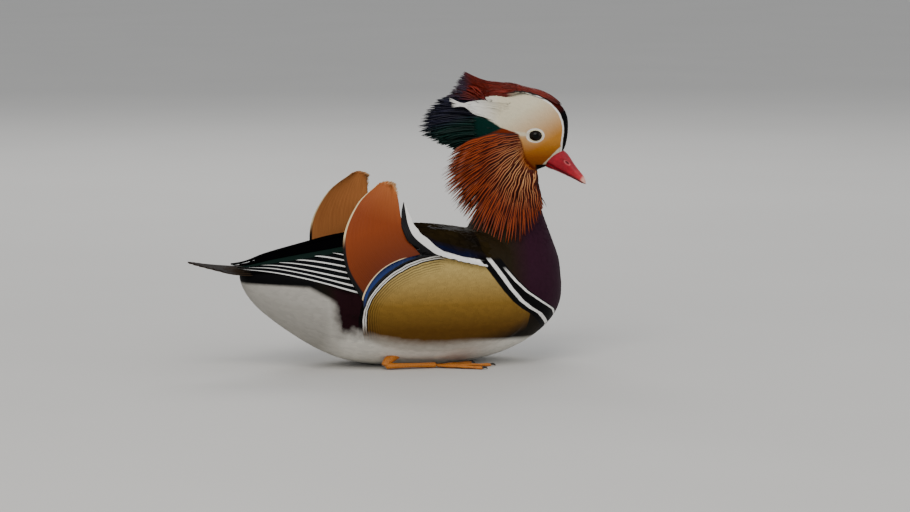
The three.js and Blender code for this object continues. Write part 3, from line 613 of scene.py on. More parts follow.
def plumage(name, rooted, fray, barbs, share, shades, gloss=0.06):
    f = Finish(name, Roughness=0.6, Specular_IOR_Level=gloss)
    colour = wholeMarks(f, rooted, fray)
    t, across = f.attribute("along"), f.attribute("across")
    # each feather darker towards its root: painted shade where the feathers ahead overlap it; the spread
    # of tone from feather to feather is their own
    shade = f.ramp(f.attribute("tone"), 0, 1, *shades) * f.ramp(t, 0.1, 0.6, 0.93, 1.02)
    return f.set(Base_Color=f.scaled(colour, shade),
                 Normal=f.barbs(t * 26.0 + across.size() * 9.0, barbs, 0.05, softly(f, share)))


# The skin: trunk, neck, head and the mounds of the folded wings, as one.

skinCare = {"voxel": 1.5, "smooth": 5, "inset": 0.9, "padDepth": -4}
eyeSocket = {"across": 6.1, "up": 4.8, "aside": 14.9}


def loftMesh(sides, rings, place):
    base = sphereBase(sides, rings)
    turn = np.where(base["pole"], 0, base["turn"])
    return base, place(base["t"], turn, base["pole"])


def trunkPlace(t, turn, _):
    reach = -np.cos(math.pi * t)
    x = (body["rear"] + body["front"]) / 2 + (body["front"] - body["rear"]) / 2 * reach
    return onTrunk(x, np.degrees(turn))


def neckPlace(t, turn, pole):
    z = mix(neckLine["z"][0], neckLine["z"][-1], (1 - np.cos(math.pi * t)) / 2)
    size = np.where(pole, 0, np.minimum(1, np.sin(math.pi * t) * 1.9))
    reach = between(z, neckLine["z"], neckLine["reach"]) * size
    beam = between(z, neckLine["z"], neckLine["beam"]) * size
    axis = between(z, neckLine["z"], neckLine["axis"])
    return stack(axis + reach * np.cos(turn), beam * np.sin(turn), z)


def headPlace(t, turn, _):
    middle, half = (skull["nape"] + skull["brow"]) / 2, (skull["brow"] - skull["nape"]) / 2
    return onHead(middle - half * np.cos(math.pi * t), turn)


def flankPad(side):
    base = bladeBase(40, 24)
    t, w = base["t"], (base["across"] + 1) / 2
    x = mix(flankShape["rear"], flankShape["front"], t)
    low = between(x, flankShape["x"], flankShape["under"])
    angle = mix(low, between(x, flankShape["x"], flankShape["edge"]), w)
    edge = np.minimum(1, 5 * np.minimum(np.minimum(t, 1 - t), np.minimum(w, 1 - w)))
    lift = np.where(base["face"] > 0, 0.2 + flankShape["thick"] * np.sqrt(edge), skinCare["padDepth"])
    points = onTrunk(x, angle, lift)
    points[..., 1] *= side
    return base, points


def wingPad(side):
    base = bladeBase(44, 24)
    t, w = base["t"], (base["across"] + 1) / 2
    x = mix(wingShape["front"], wingShape["rear"], t)
    low = between(np.maximum(x, flankShape["rear"]), flankShape["x"], flankShape["edge"]) - 3
    angle = mix(low, wingShape["top"], w)
    full = np.sin(math.pi * np.minimum(1, t * 0.92)) ** 0.6 * np.sin(math.pi * mix(0.2, 1, w)) ** 0.7
    lift = np.where(base["face"] > 0, 0.6 + wingShape["thick"] * full, skinCare["padDepth"])
    points = onTrunk(x, angle, lift)
    points[..., 1] *= side
    return base, points


def socket(point):
    # the skin dips round each eye
    d, s, z = local(point)
    out = ((d - eye["along"]) / eyeSocket["across"]) ** 2 + ((z - eye["height"]) / eyeSocket["up"]) ** 2
    return headPoint(d, np.sign(s) * min(abs(s), eyeSocket["aside"] + out ** 1.5), z)


def makeSkin():
    bm = bmesh.new()
    parts = [loftMesh(64, 56, trunkPlace), loftMesh(48, 36, neckPlace), loftMesh(56, 40, headPlace)]
    parts += [pad(side) for side in (1, -1) for pad in (flankPad, wingPad)]
    for base, points in parts:
        mesh = joined("form", base, points[None])
        bm.from_mesh(mesh)
        bpy.data.meshes.remove(mesh)
    rough = bpy.data.meshes.new("form")
    bm.to_mesh(rough)
    bm.free()
    carrier = bpy.data.objects.new("form", rough)
    bpy.context.scene.collection.objects.link(carrier)
    remesh = carrier.modifiers.new("one skin", "REMESH")
    remesh.mode = "VOXEL"
    remesh.voxel_size = skinCare["voxel"] * mm
    done = carrier.evaluated_get(bpy.context.evaluated_depsgraph_get())
    skin = bpy.data.meshes.new_from_object(done)
    bpy.data.objects.remove(carrier)
    bpy.data.meshes.remove(rough)
    bm = bmesh.new()
    bm.from_mesh(skin)
    for _ in range(skinCare["smooth"]):
        bmesh.ops.smooth_vert(bm, verts=bm.verts[:], factor=0.5,
                              use_axis_x=True, use_axis_y=True, use_axis_z=True)
    bm.normal_update()
    for v in bm.verts:
        v.co -= v.normal * skinCare["inset"] * mm
        v.co.z = max(v.co.z, 0.2 * mm)
        if v.co.z > 160 * mm:
            v.co = Vector(socket(np.array(v.co) / mm)) * mm
    for face in bm.faces:
        face.smooth = True
    bm.to_mesh(skin)
    bm.free()
    skin.name = "skin"
    return skin


skinMesh = makeSkin()
skinMesh.calc_loop_triangles()
skinPoints = np.empty(len(skinMesh.vertices) * 3, np.float32)
skinMesh.vertices.foreach_get("co", skinPoints)
skinPoints = skinPoints.reshape(-1, 3).astype(float) / mm
skinTris = np.empty(len(skinMesh.loop_triangles) * 3, np.int32)
skinMesh.loop_triangles.foreach_get("vertices", skinTris)
skinTris = skinTris.reshape(-1, 3)
skinTree = BVHTree.FromPolygons([Vector(p) for p in skinPoints], [tuple(t) for t in skinTris])
print("skin", len(skinTris), "triangles")


def skinFinish():
    f = Finish("skin plumage", Roughness=0.7, Specular_IOR_Level=0.03)
    colour = wholeMarks(f, fray=1.0)
    return f.set(Base_Color=colour, Normal=f.bump(f.noise(f.place, 1.6, 3), 0.4, 0.3))


asPiece("skin", skinMesh, skinFinish(), "body_feathers", "torso", "neck", "head")


def drape(points, heights, bearings=None):
    # each point is set down on the skin and raised along its normal
    flat = points.reshape(-1, 3)
    high = np.broadcast_to(heights, points.shape[:-1]).reshape(-1)
    out, lean = np.empty_like(flat), np.empty_like(flat)
    for i, p in enumerate(flat):
        at, normal, _, _ = skinTree.find_nearest(p)
        out[i] = (at.x + normal.x * high[i], at.y + normal.y * high[i], at.z + normal.z * high[i])
        lean[i] = normal
    if bearings is not None:
        bearings.append(lean.reshape(points.shape))
    return out.reshape(points.shape)


def skinRoots(spacing, keep, tries=9):
    # evenly scattered points of the skin where keep(points) holds, with their normals
    a, b, c = (skinPoints[skinTris[:, i]] for i in range(3))
    cross = np.cross(b - a, c - a)
    area = np.linalg.norm(cross, axis=1) / 2
    wanted = keep((a + b + c) / 3)
    area = np.where(wanted, area, 0)
    count = int(area.sum() / spacing ** 2 * tries)
    pick = rng.choice(len(area), count, p=area / area.sum())
    u, v = rng.uniform(0, 1, count), rng.uniform(0, 1, count)
    flip = u + v > 1
    u, v = np.where(flip, 1 - u, u), np.where(flip, 1 - v, v)
    points = a[pick] + (b - a)[pick] * u[:, None] + (c - a)[pick] * v[:, None]
    normals = unit(cross)[pick]
    cells, kept = {}, []
    for i, key in enumerate(map(tuple, np.floor(points / spacing).astype(int))):
        p = points[i]
        near = (j for dx in (-1, 0, 1) for dy in (-1, 0, 1) for dz in (-1, 0, 1)
                for j in cells.get((key[0] + dx, key[1] + dy, key[2] + dz), ()))
        if all(((points[j] - p) ** 2).sum() > spacing ** 2 for j in near):
            cells.setdefault(key, []).append(i)
            kept.append(i)
    return points[kept], normals[kept]


def lie(points):
    # the way the plumage lies: back over the head, down the neck, and back along the body
    d, s, z = local(points)
    side = np.sign(points[..., 1])
    trunk = stack(-1.0, 0.0 * side, np.where(z < 60, 0.12, -0.25) * clip01((points[..., 0] + 60) / 60))
    breast = stack(-0.75, 0.35 * side, -0.9)
    front = clip01((points[..., 0] - 70) / 40)[..., None]
    down = stack(-0.25, 0.12 * side, -1.0)
    face = headWay(d - 44, s, z - 158)
    way = mix(trunk, breast, front)
    way = mix(way, down, clip01((z - 84) / 24)[..., None] * clip01((points[..., 0] - 25) / 25)[..., None])
    return unit(mix(way, unit(face), clip01((z - 146) / 8)[..., None]))


def featherForm(base, early, full):
    # how far each corner of the base stands aside, and to which face of the feather it belongs
    if "face" in base:
        wide = roundTip(base["t"], 0.55, 0.05) * np.minimum(1, 0.35 + base["t"] * 3)
        return wide * base["across"], base["face"] * 0.5
    size = np.where(base["pole"], 0, swell(base["t"], early, full))
    return size * np.cos(base["turn"]), size * np.sin(base["turn"])


def coat(**own):
    # what one tract of feathers is like, in millimetres, where it differs from the usual
    usual = {"stray": 0.08, "thick": 0.12, "cup": 0.12, "sink": 0.02, "early": 0.6, "full": 0.5,
             "sides": 4, "rings": 5}
    return {**usual, **own}


coats = {
    "flank": coat(apart=1.9, length=9, width=4.6, rise=0.2, thick=0.05),
    "breast": coat(apart=2.0, length=9, width=4.8, rise=0.25, thick=0.06),
    "belly": coat(apart=2.4, length=12, width=5.6, rise=0.26, thick=0.06, stray=0.07),
    "back": coat(length=17, width=9.5, rise=0.5, thick=0.3, stray=0.04, sink=-0.2, cup=0.4),
    "neck": coat(apart=2.0, length=8, width=3.6, rise=0.4, thick=0.08, early=0.75),
    "face": coat(apart=1.15, length=3.2, width=1.3, rise=0.4, thick=0.1, sink=-0.2, cup=0.2,
                 early=0.8, full=0.7, sides=3, rings=4),
}


def lay(name, slot, material, spec, roots, normals, base, *nodes):
    # small overlapping feathers, laid on the skin from their roots
    n = len(roots)
    way = lie(roots) + rng.normal(0, spec["stray"], (n, 3))
    way = unit(way - normals * (way * normals).sum(-1, keepdims=True))
    aside = np.cross(normals, way)
    length = spec["length"] * spread(0.88, 1.12, n)[:, None]
    width = spec["width"] * spread(0.9, 1.1, n)[:, None] / 2
    side, face = featherForm(base, spec["early"], spec["full"])
    flat = (roots[:, None] + way[:, None] * (length * (base["t"] - 0.15))[..., None]
            + aside[:, None] * (width * side)[..., None])
    rise = spec["rise"] * spread(0.75, 1.25, n)[:, None] * (0.1 + base["t"][None] ** 1.3)
    cup = spec["cup"] * side ** 2 * base["t"]
    bearings = []
    points = drape(flat, rise + spec["sink"] - cup + spec["thick"] * face, bearings)
    points[..., 2] = np.maximum(points[..., 2], 0.05)
    mesh = joined(name, base, points, roots, bearing=bearings[0], smooth=False)
    print(name, n, "feathers", n * sum(len(f) - 2 for f in base["faces"]), "triangles")
    return asPiece(name, mesh, material, slot, *nodes)


def tract(name, slot, material, spec, keep, *nodes):
    roots, normals = skinRoots(spec["apart"], keep)
    base = sphereBase(spec["sides"], spec["rings"])
    return lay(name, slot, material, spec, roots, normals, base, *nodes)


bodyPlumage = plumage("body plumage", rooted=0.0, fray=0.45, barbs=0.12, share=0.95, shades=(0.93, 1.06))
backPlumage = plumage("back plumage", rooted=0.0, fray=0.7, barbs=0.3, share=0.85, shades=(0.8, 1.2),
                      gloss=0.0)
facePlumage = plumage("face plumage", rooted=0.1, fray=0.4, barbs=0.08, share=0.85, shades=(0.93, 1.06))
faceClear = {"along": 20, "height": 176.7, "across": 6.6, "up": 5.3}


def inFlank(points):
    x, z = points[:, 0], points[:, 2]
    dx, dz = x - flankCentre[0], z - flankCentre[1]
    edge = np.interp(np.degrees(np.arctan2(dx, dz)), *zip(*flankRim)) - np.hypot(dx, dz)
    behindBars = x < np.interp(z, *zip(*barRear)) - 7
    return (x > -55) & (edge > -1) & behindBars & (z > 22) & (np.abs(points[:, 1]) > 22)


def inHead(points):
    return points[:, 2] > 149


def bandGap(points):
    # how far above the white band along the scapulars
    x, z = points[:, 0], points[:, 2]
    return np.where(x > -6, z - np.interp(x, *zip(*bandRun)), 9)


def onBack(points):
    x, z = points[:, 0], points[:, 2]
    return (x < 58) & (z > 84 + 0.12 * np.maximum(-x, 0)) & (z < 112) & (bandGap(points) > 2)


tract("flank_feathers", "flank_feathers", bodyPlumage, coats["flank"], inFlank,
      "flank_left", "flank_right")
tract("breast_feathers", "body_feathers", bodyPlumage, coats["breast"],
      lambda p: (p[:, 2] < 100) & ~inFlank(p) & (p[:, 0] >= 36))
tract("belly_feathers", "body_feathers", bodyPlumage, coats["belly"],
      lambda p: (p[:, 2] < 100) & ~inFlank(p) & (p[:, 0] < 38) & ~onBack(p))
tract("neck_feathers", "neck_feathers", bodyPlumage, coats["neck"],
      lambda p: (p[:, 2] >= 98) & ~inHead(p) & (np.hypot(p[:, 0] - 74, p[:, 1]) < 52))


def showsOnFace(points):
    # all over the head but for the eyes
    d, _, z = local(points)
    across = (d - faceClear["along"]) / faceClear["across"]
    up = (z - faceClear["height"]) / faceClear["up"]
    return inHead(points) & (across ** 2 + up ** 2 > 1)


tract("face_feathers", "face_feathers", facePlumage, coats["face"], showsOnFace)


def layBack():
    # broad dark feathers over the shoulders and back, in staggered rows from the rump forward
    place = np.array([(x, angle + 2.2 * (row % 2)) for row, x in enumerate(np.arange(-64, 62, 5.0))
                      for angle in np.arange(36, 146, 4.4)])
    points = onTrunk(place[:, 0], place[:, 1], 3)
    points = points[onBack(points + [0, 0, -2])]
    bearings = []
    roots = drape(points, 0.0, bearings)
    lay("back_feathers", "wing_feathers", backPlumage, coats["back"], roots, bearings[0], bladeBase(8, 4))


layBack()

# Crest, brow plumes and hackles.

crestCare = {"nape": 1500, "crown": 1100, "brow": 640, "throat": 420}
napeTips = [(-36, 216), (-47, 209), (-61, 201.5), (-66.5, 194), (-71.5, 186), (-71.5, 177), (-64, 172.5),
            (-55, 167.5), (-44, 164)]


def lockPiece(name, form, material, slot, nodes=(), sides=3, rings=7, early=0.8):
    # form: paths, width, thickness, the way that each lock faces, and a tone for each or none
    paths, width, thick, outward, tone = form
    base = sphereBase(sides, rings)
    points = locks(base, paths, width, thick, outward, early)
    bearing = np.repeat(outward[:, None], len(base["t"]), 1)
    mesh = joined(name, base, points, paths[:, 0], tone, bearing)
    print(name, len(paths), "locks", len(paths) * sum(len(f) - 2 for f in base["faces"]), "triangles")
    return asPiece(name, mesh, material, slot, *nodes)


def napeLocks():
    n = crestCare["nape"]
    outline = np.array([(d, 0, z) for d, z in napeTips], float)
    q, layer = spread(0, 1, n), spread(-1, 1, n)
    tip = curve(outline, q)
    short = mix(1.0, 0.72, np.abs(layer) ** 1.6) * spread(0.72, 1.03, n)
    rootZ = mix(209, 168, q)
    rootD = np.minimum(spread(-26, -11, n), mix(-22, -11, clip01(q / 0.3)))
    level = []
    for t in (0, 0.3, 0.6, 0.82, 1):
        out = t * short
        d = mix(rootD, tip[:, 0], out)
        height = mix(rootZ, tip[:, 2], out) + 1.6 * np.sin(math.pi * t) + 0.5 * np.sin(q * 40 + t * 4)
        wide = np.maximum(besideHead(np.clip(d, -33, 40), height) * (d > -33), 10 * (1 - t) + 3.5)
        level.append(headPoint(d, layer * wide * mix(0.98, 0.8, t), height))
    outward = unit(headWay(-0.3, np.sign(layer), 0.15))
    return np.stack(level, 1), spread(0.7, 1.2, n), spread(0.18, 0.3, n), outward, None


def napeFinish():
    f = Finish("nape plumage", Roughness=0.42, Specular_IOR_Level=0.3)
    x, y, z = f.position(0.25, 2.0)
    d = headAlong(x, y)
    low = f.ramp(z - 182 - (d + 50) * 0.37, 3, -3) * f.ramp(d, -60, -48)
    colour = f.blend(low, plumes["navy"], plumes["green"])
    above = z - f.along(d, [(-70, 196), (-48, 205), (-33, 202.7), (-20, 203.2), (-9, 205.7), (2, 208)])
    colour = f.blend(f.ramp(above, 0, 2), colour, plumes["plum"])
    colour = f.blend(f.ramp(above, 0, 2) * f.ramp(d, -38, -30), colour, plumes["chestnut"])
    return f.set(Base_Color=f.scaled(colour, f.ramp(f.attribute("tone"), 0, 1, 0.55, 1.5)), Metallic=0.15)


lockPiece("nape_crest", napeLocks(), napeFinish(), "nape", ["crest_nape"])
crestTop = [(-36, 226), (-31.1, 223.6), (-24.5, 220.3), (-15.8, 218.1), (1.8, 217), (12.7, 214.8),
            (20, 211.5)]


def crownLocks():
    # a cap that hugs the skull, and behind it a narrow crest that ends in a ragged flick
    n = crestCare["crown"]
    across = spread(-1, 1, n)
    rearward = spread(0, 1, n) < 0.62
    start = np.where(rearward, spread(-26, 12, n), spread(8, 41, n))
    far = start - spread(16, 30, n)
    limit = -34 - 13 * np.abs(across) ** 1.2 + spread(-2, 2, n)
    end = np.where(rearward, np.maximum(far, limit), start - spread(10, 18, n))
    level = []
    for t in (0, 0.33, 0.66, 1):
        d = mix(start, end, t)
        turn = math.pi / 2 - across * mix(0.36, 0.5, clip01((d - 8) / 12)) * mix(1, 0.9, t)
        cap = onHead(np.clip(d, -12, 45), turn, 0.1 + 0.9 * t * (1 - np.abs(across)))
        top = np.interp(d, *zip(*crestTop))
        behind = clip01((8 - d) / 40)
        drop = mix(5, 21, behind) * np.abs(across) ** 1.5 * mix(1, 0.9, t)
        crest = headPoint(d, across * mix(11.5, 4.6, behind), top - drop - 1.5 * (1 - t))
        level.append(mix(cap, crest, clip01((14 - d) / 10)[:, None]))
    outward = unit(headWay(clip01((start - 20) / 20), np.where(rearward, 1.2, 0.6) * across, 1))
    return np.stack(level, 1), spread(0.7, 1.2, n), spread(0.18, 0.3, n), outward, None


def crownFinish():
    f = Finish("crown plumage", Roughness=0.5, Specular_IOR_Level=0.25)
    x, y, z = f.position(0.1, 1.4)
    d = headAlong(x, y)
    colour = f.blend(f.ramp(d, 6, -2), headMarks(f, x, y, z), plumes["chestnut"])
    colour = f.blend(f.ramp(d + (z - 214) * 0.25, -27, -34), colour, plumes["plum"])
    return f.set(Base_Color=f.scaled(colour, f.ramp(f.attribute("tone"), 0, 1, 0.6, 1.5)))


lockPiece("crown_crest", crownLocks(), crownFinish(), "crown", ["crest_crown"])
browUpper = [(-47.5, 206), (-42, 203), (-36.5, 200.6), (-33.3, 202), (-20.1, 202.7), (-9.2, 205),
             (1.8, 207.5), (12, 208)]
browLower = [(-46, 197.2), (-36.5, 199), (-28.9, 193.6), (-20.1, 190.8), (-11.4, 186.4), (-4.8, 181.5),
             (12, 181)]


def browLocks(side):
    # the pale side of the crown runs back in fine plumes that draw together and fork at the tip
    n = crestCare["brow"]
    v = spread(0, 1, n)
    start = np.where(v > 0.75, spread(-30, -13, n), spread(-30, 2, n))
    endHigh, endLow, endMiddle = spread(-48, -30, n), spread(-38, -24, n), spread(-37, -26, n)
    end = np.where(v > 0.72, endHigh, np.where(v < 0.4, endLow, endMiddle))
    end = np.where(spread(0, 1, n) < 0.07, np.where(v > 0.5, -47.5, -46), end)
    end = np.minimum(end, start - 8)
    ragged = spread(0, 1, n)
    level = []
    for t in np.linspace(0, 1, 9):
        d = mix(start, end, t)
        low, high = np.interp(d, *zip(*browLower)), np.interp(d, *zip(*browUpper))
        height = mix(low, high, mix(v, np.where(v > 0.5, mix(v, 1, 0.3), v), t))
        hug = besideHead(np.clip(d, -31, 40), height)
        free = mix(19, 8.5, clip01((-d - 5) / 40))
        sunk = 1.7 * clip01((d + 20) / 9) - 0.3 * t
        flat = mix(hug, np.maximum(hug, free), clip01((-d - 8) / 26) ** 1.5)
        barb = 2.6 * t * ragged * (v < 0.3) * clip01((d + 34) / 8)
        level.append(headPoint(d, side * (flat - sunk), height + 0.11 * hug - barb))
    outward = np.tile(headWay(0, side, 0), (n, 1))
    return np.stack(level, 1), spread(0.4, 0.7, n), spread(0.1, 0.15, n), outward, None


def browFinish():
    f = Finish("brow plumage", Roughness=0.65, Specular_IOR_Level=0.2)
    x, y, _ = f.position()
    colour = f.blend(f.ramp(headAlong(x, y), -8, -28), plumes["cream"], plumes["white"])
    shade = f.ramp(f.attribute("tone"), 0, 1, 0.92, 1.05)
    return f.set(Base_Color=f.scaled(colour, shade), Normal=softly(f, 0.75))


# The hackles, three rows of broad strands and two of fine ones: how many strands, their share of the full
# length, lift off the neck, looseness and width. The fan is told in degrees about its own centre.
hackleTiers = [(50, 1.0, 0.4, 0.2, 1.75), (42, 0.87, 1.5, 0.2, 1.6), (34, 0.7, 2.6, 0.2, 1.4),
               (360, 1.03, 0.3, 6, 0.5), (220, 0.84, 1.1, 6, 0.4)]
hackleFan = {
    "centre": (10, 168), "first": 182, "open": 108,
    "fan": [182, 190, 204, 226, 247, 255, 262, 276, 290],
    "reach": [52, 59, 68, 72, 78.5, 78.5, 74, 66, 47],
    "d": [7.2, 8.6, 9.6, 10.6, 11.6, 13, 14.5, 17.5, 21],
    "z": [178.4, 174.5, 170.5, 166, 159.7, 156.5, 154.4, 151.5, 149.4],
    "bowFan": [182, 200, 235, 290],
    "bow": [-4.4, -3.8, -2, -1.2],
}
# One strand at the throat stands off from the rest.
strayStrand = [(20, -3, 133), (23.4, -4, 129), (26.4, -4, 124.5), (29, -4, 119.5)]


def hackleAside(along, height):
    beam = between(np.clip(height, neckLine["z"][0], 176), neckLine["z"], neckLine["beam"])
    behind = clip01((-along - 8) / 40)
    return mix(np.maximum(beam, 18.5) + 0.9, 1.6, behind ** 1.5)


def hackleLocks(side, n, short, lift, loose, wide):
    # ordered strands that start along the cheek and fan back and down
    def station(key):
        return between(fan, hackleFan["fan"], hackleFan[key])

    fan = hackleFan["first"] + hackleFan["open"] * (np.arange(n) + spread(-loose, loose, n) + 0.5) / n
    reach = station("reach") * short * spread(1 - 0.08 * loose - 0.03, 1.02, n)
    startD, startZ = station("d"), station("z")
    endD = hackleFan["centre"][0] + reach * np.cos(np.radians(fan))
    endZ = hackleFan["centre"][1] + reach * np.sin(np.radians(fan))
    length = np.hypot(endD - startD, endZ - startZ)
    normal = np.stack([-(endZ - startZ), endD - startD]) / length
    bow = np.interp(fan, hackleFan["bowFan"], hackleFan["bow"]) * short
    wave = np.radians(fan) * 11 + spread(-0.35, 0.35, n)
    startD = startD - spread(0, 3.5, n)
    # the fine strands lie under the broad ones and take only the darkest tones: painted shade where they
    # show between them
    tone = spread(0.35, 1, n) if loose < 1 else spread(0, 0.25, n)
    level = []
    for t in np.linspace(0, 1, 8):
        ripple = 0.8 * np.sin(wave + t * length * 0.52) * (1 - t * 0.75) * min(1, t * 6)
        sway = bow * math.sin(math.pi * t) + ripple
        d = mix(startD, endD, t) + normal[0] * sway
        z = mix(startZ, endZ, t) + normal[1] * sway
        aside = np.maximum(hackleAside(d, z), besideHead(np.clip(d, -30, 40), z) * (t < 0.2))
        rise = lift * min(1, t * 2.6) * (0.45 + 0.55 * math.sin(math.pi * min(1, t * 1.1)))
        rooted = 0.2 - 0.9 * max(0, 1 - t * 6)
        level.append(headPoint(d, side * (aside + rise + rooted), z))
    outward = np.tile(unit(headWay(-0.25, side, 0)), (n, 1))
    width, thick = wide * spread(0.85, 1.15, n), wide * 0.5 * spread(0.8, 1.2, n)
    return np.stack(level, 1), width, thick, outward, tone


def throatLocks():
    # the same strands round the front of the throat, hanging down the neck
    n = crestCare["throat"]
    turn = spread(-1.25, 1.25, n)
    top = mix(149, 128, spread(0, 1, n))
    low = np.maximum(top - spread(20, 26, n), 112 + 7 * np.cos(turn))
    level = []
    for t, stray in zip((0, 0.33, 0.66, 1), strayStrand):
        z = mix(top, low, t)
        axis, reach, beam = (between(z, neckLine["z"], neckLine[key])
                             for key in ("axis", "reach", "beam"))
        lift = 0.2 + 0.8 * t
        level.append(stack(axis + (reach + lift) * np.cos(turn), (beam + lift) * np.sin(turn), z))
        level[-1][-1] = headPoint(*stray)
    wide = spread(0.7, 1.1, n)
    wide[-1] = 0.42
    outward = unit(stack(np.cos(turn), np.sin(turn), 0.2))
    return np.stack(level, 1), wide, wide * 0.35, outward, None


def hackleFinish():
    f = Finish("hackle plumage", Roughness=0.5, Specular_IOR_Level=0.15)
    t, across, tone = f.attribute("along"), f.attribute("across"), f.attribute("tone")
    x, y, z = f.position()
    d = headAlong(x, y)
    near = f.reach(d - 12, z - 150)
    colour = f.blend(f.ramp(tone, 0.3, 1.0), paint(84, 20, 4), paint(132, 44, 10))
    # each strand's edges darkened, most near the cheek: painted shade in the gaps between strands
    gapShade = f.ramp(across.size(), 0.3, 0.6) * f.ramp(near, 80, 30, 0.6, 1.0)
    colour = f.blend(gapShade, colour, plumes["hackleDark"])
    # a pale line down each strand's middle, cream near the cheek and orange further out: partly the
    # feathers' own pale shafts, partly a painted highlight along each strand's top
    shaftAndHighlight = f.ramp(across.size(), 0.25, 0.05) * f.ramp(tone, 0.28, 0.34)
    colour = f.blend(shaftAndHighlight * f.ramp(near, 34, 8) * 0.9, colour, paint(224, 172, 112))
    colour = f.blend(shaftAndHighlight * f.ramp(near, 16, 40) * 0.5, colour, paint(206, 98, 34))
    colour = f.blend(f.ramp(t, 0.84, 1.0) * f.ramp(d, -6, -34) * 0.6, colour, paint(186, 130, 112))
    colour = f.blend(f.ramp(t, 0.14, 0.02) * f.ramp(z, 172, 160), colour, plumes["cheek"])
    return f.set(Base_Color=colour, Normal=softly(f, 0.35))


browMaterial = browFinish()
hackleMaterial = hackleFinish()
for name, side in bothSides:
    lockPiece("brow_plumes_" + name, browLocks(side), browMaterial, "white_feathers",
              ["brow_" + name], rings=9)
    rows = [hackleLocks(side, *tier) for tier in hackleTiers]
    lockPiece("hackles_" + name, [np.concatenate(row) for row in zip(*rows)], hackleMaterial, "hackles",
              ["ruff_" + name], sides=6, rings=12, early=0.7)
lockPiece("throat_hackles", throatLocks(), hackleMaterial, "hackles", sides=4)

# Eyes and lids.

def eyeFinish():
    f = Finish("eye", Roughness=0.1, Specular_IOR_Level=0.14)
    x, y, z = f.position()
    out = f.reach(headAlong(x, y) - eye["along"], z - eye["height"])
    colour = f.blend(f.ramp(out, 1.9, 2.2), paint(2, 2, 2), paint(20, 10, 6))
    return f.set(Base_Color=f.blend(f.ramp(out, 4.2, 4.9), colour, paint(6, 4, 3)))


def makeEye(side, material, name):
    base = sphereBase(40, 28)
    t, turn = base["t"] * math.pi, np.where(base["pole"], 0, base["turn"])
    r = eye["radius"]
    ball = headPoint(eye["along"] + r * np.sin(t) * np.cos(turn),
                     side * (eye["aside"] - r * np.cos(t) * side),
                     eye["height"] + r * eye["tall"] * np.sin(t) * np.sin(turn))
    asPiece("eyeball_" + name, joined("eyeball", base, ball[None]), material, "eye", "eye_" + name)


def makeLids(side, material, name):
    bm = bmesh.new()
    bmesh.ops.create_circle(bm, segments=10, radius=0.5)
    rim = (5.0, 0, 0)
    bmesh.ops.translate(bm, verts=bm.verts[:], vec=rim)
    bmesh.ops.rotate(bm, verts=bm.verts[:], cent=rim, matrix=Matrix.Rotation(math.pi / 2, 3, "X"))
    bmesh.ops.spin(bm, geom=bm.verts[:] + bm.edges[:], cent=(0, 0, 0), axis=(0, 0, 1),
                   angle=2 * math.pi, steps=40, use_merge=True)
    for v in bm.verts:
        x, y, z = v.co
        turn = math.atan2(y, x)
        behind = max(0.0, -math.cos(turn)) ** 6 * 1.8
        at = headPoint(eye["along"] - 0.4 + x * 1.09 - behind, side * (eye["aside"] + 3.35 + z),
                       eye["height"] + y * eye["tall"] + behind * 0.3)
        v.co = Vector(at) * mm
    for face in bm.faces:
        face.smooth = True
    bmesh.ops.recalc_face_normals(bm, faces=bm.faces[:])
    mesh = bpy.data.meshes.new("lids")
    bm.to_mesh(mesh)
    bm.free()
    asPiece("lids_" + name, mesh, material, "face_feathers")


def lidFinish():
    f = Finish("lid skin", Roughness=0.55)
    f.position()
    grain = f.noise(f.place, 2.2, 3)
    return f.set(Base_Color=f.blend(grain, paint(232, 224, 196), paint(206, 192, 152)),
                 Normal=f.bump(grain, 0.3, 0.15))


eyeMaterial = eyeFinish()
lidMaterial = lidFinish()
for name, side in bothSides:
    makeEye(side, eyeMaterial, name)
    makeLids(side, lidMaterial, name)
print("eyes")

# Bill.

bill = {
    "root": (34.6, 156.8), "slope": math.radians(-37.4), "back": -9, "tip": 31.4,
    "x": [-9, 0, 6, 15.7, 25, 31.4],
    "top": [9, 10, 9.7, 6.4, 4, 2.8],
    "under": [8.2, 8.2, 6.4, 4.1, 2.3, 1.6],
    "beam": [8.4, 8.5, 8.2, 7.4, 6.4, 6.2],
    "nostril": (9.2, 4.4),
}
mouthRun = [(-9, -6.0), (0, -5.0), (10, -3.5), (20, -1.9), (27, -0.9), (31.4, -0.9)]


def billPoint(along, aside, up):
    c, s = math.cos(bill["slope"]), math.sin(bill["slope"])
    return headPoint(bill["root"][0] + along * c - up * s, aside, bill["root"][1] + along * s + up * c)


def makeBill():
    base = sphereBase(72, 72)
    t, turn, pole = base["t"], base["turn"], base["pole"]
    along = mix(bill["back"], bill["tip"], (1 - np.cos(math.pi * t)) / 2)
    size = np.where(pole, 0, np.minimum(1, np.sin(math.pi * t) * 1.7))
    up = np.sin(turn)
    top, under = between(along, bill["x"], bill["top"]), between(along, bill["x"], bill["under"])
    tall = np.where(up >= 0, top, under) * size
    beam = between(along, bill["x"], bill["beam"]) * size * bulge(np.cos(turn), 2.4)
    high = tall * bulge(up, 2.2)
    groove = np.exp(-((high - np.interp(along, *zip(*mouthRun))) / 0.45) ** 2) * (along > -2)
    holeAlong, holeUp = bill["nostril"]
    nostril = np.exp(-(((along - holeAlong) / 2.4) ** 2 + (high - holeUp) ** 2) ** 2)
    nail = 0.35 * np.exp(-((along - 27.6) / 0.7) ** 2) * (high > -1)
    pinch = groove * 0.6 + nostril * 1.3 + nail
    beam = beam - np.sign(beam) * np.minimum(np.abs(beam), pinch)
    high = high - np.where(np.abs(beam) < 3, nail, 0)
    drop = 0.7 * clip01((along - 27) / 4.4) * (up > 0)
    mesh = joined("bill", base, billPoint(along, beam, high - drop)[None])
    asPiece("bill", mesh, billFinish(), "bill", "bill_upper", "bill_nail", "bill_lower")


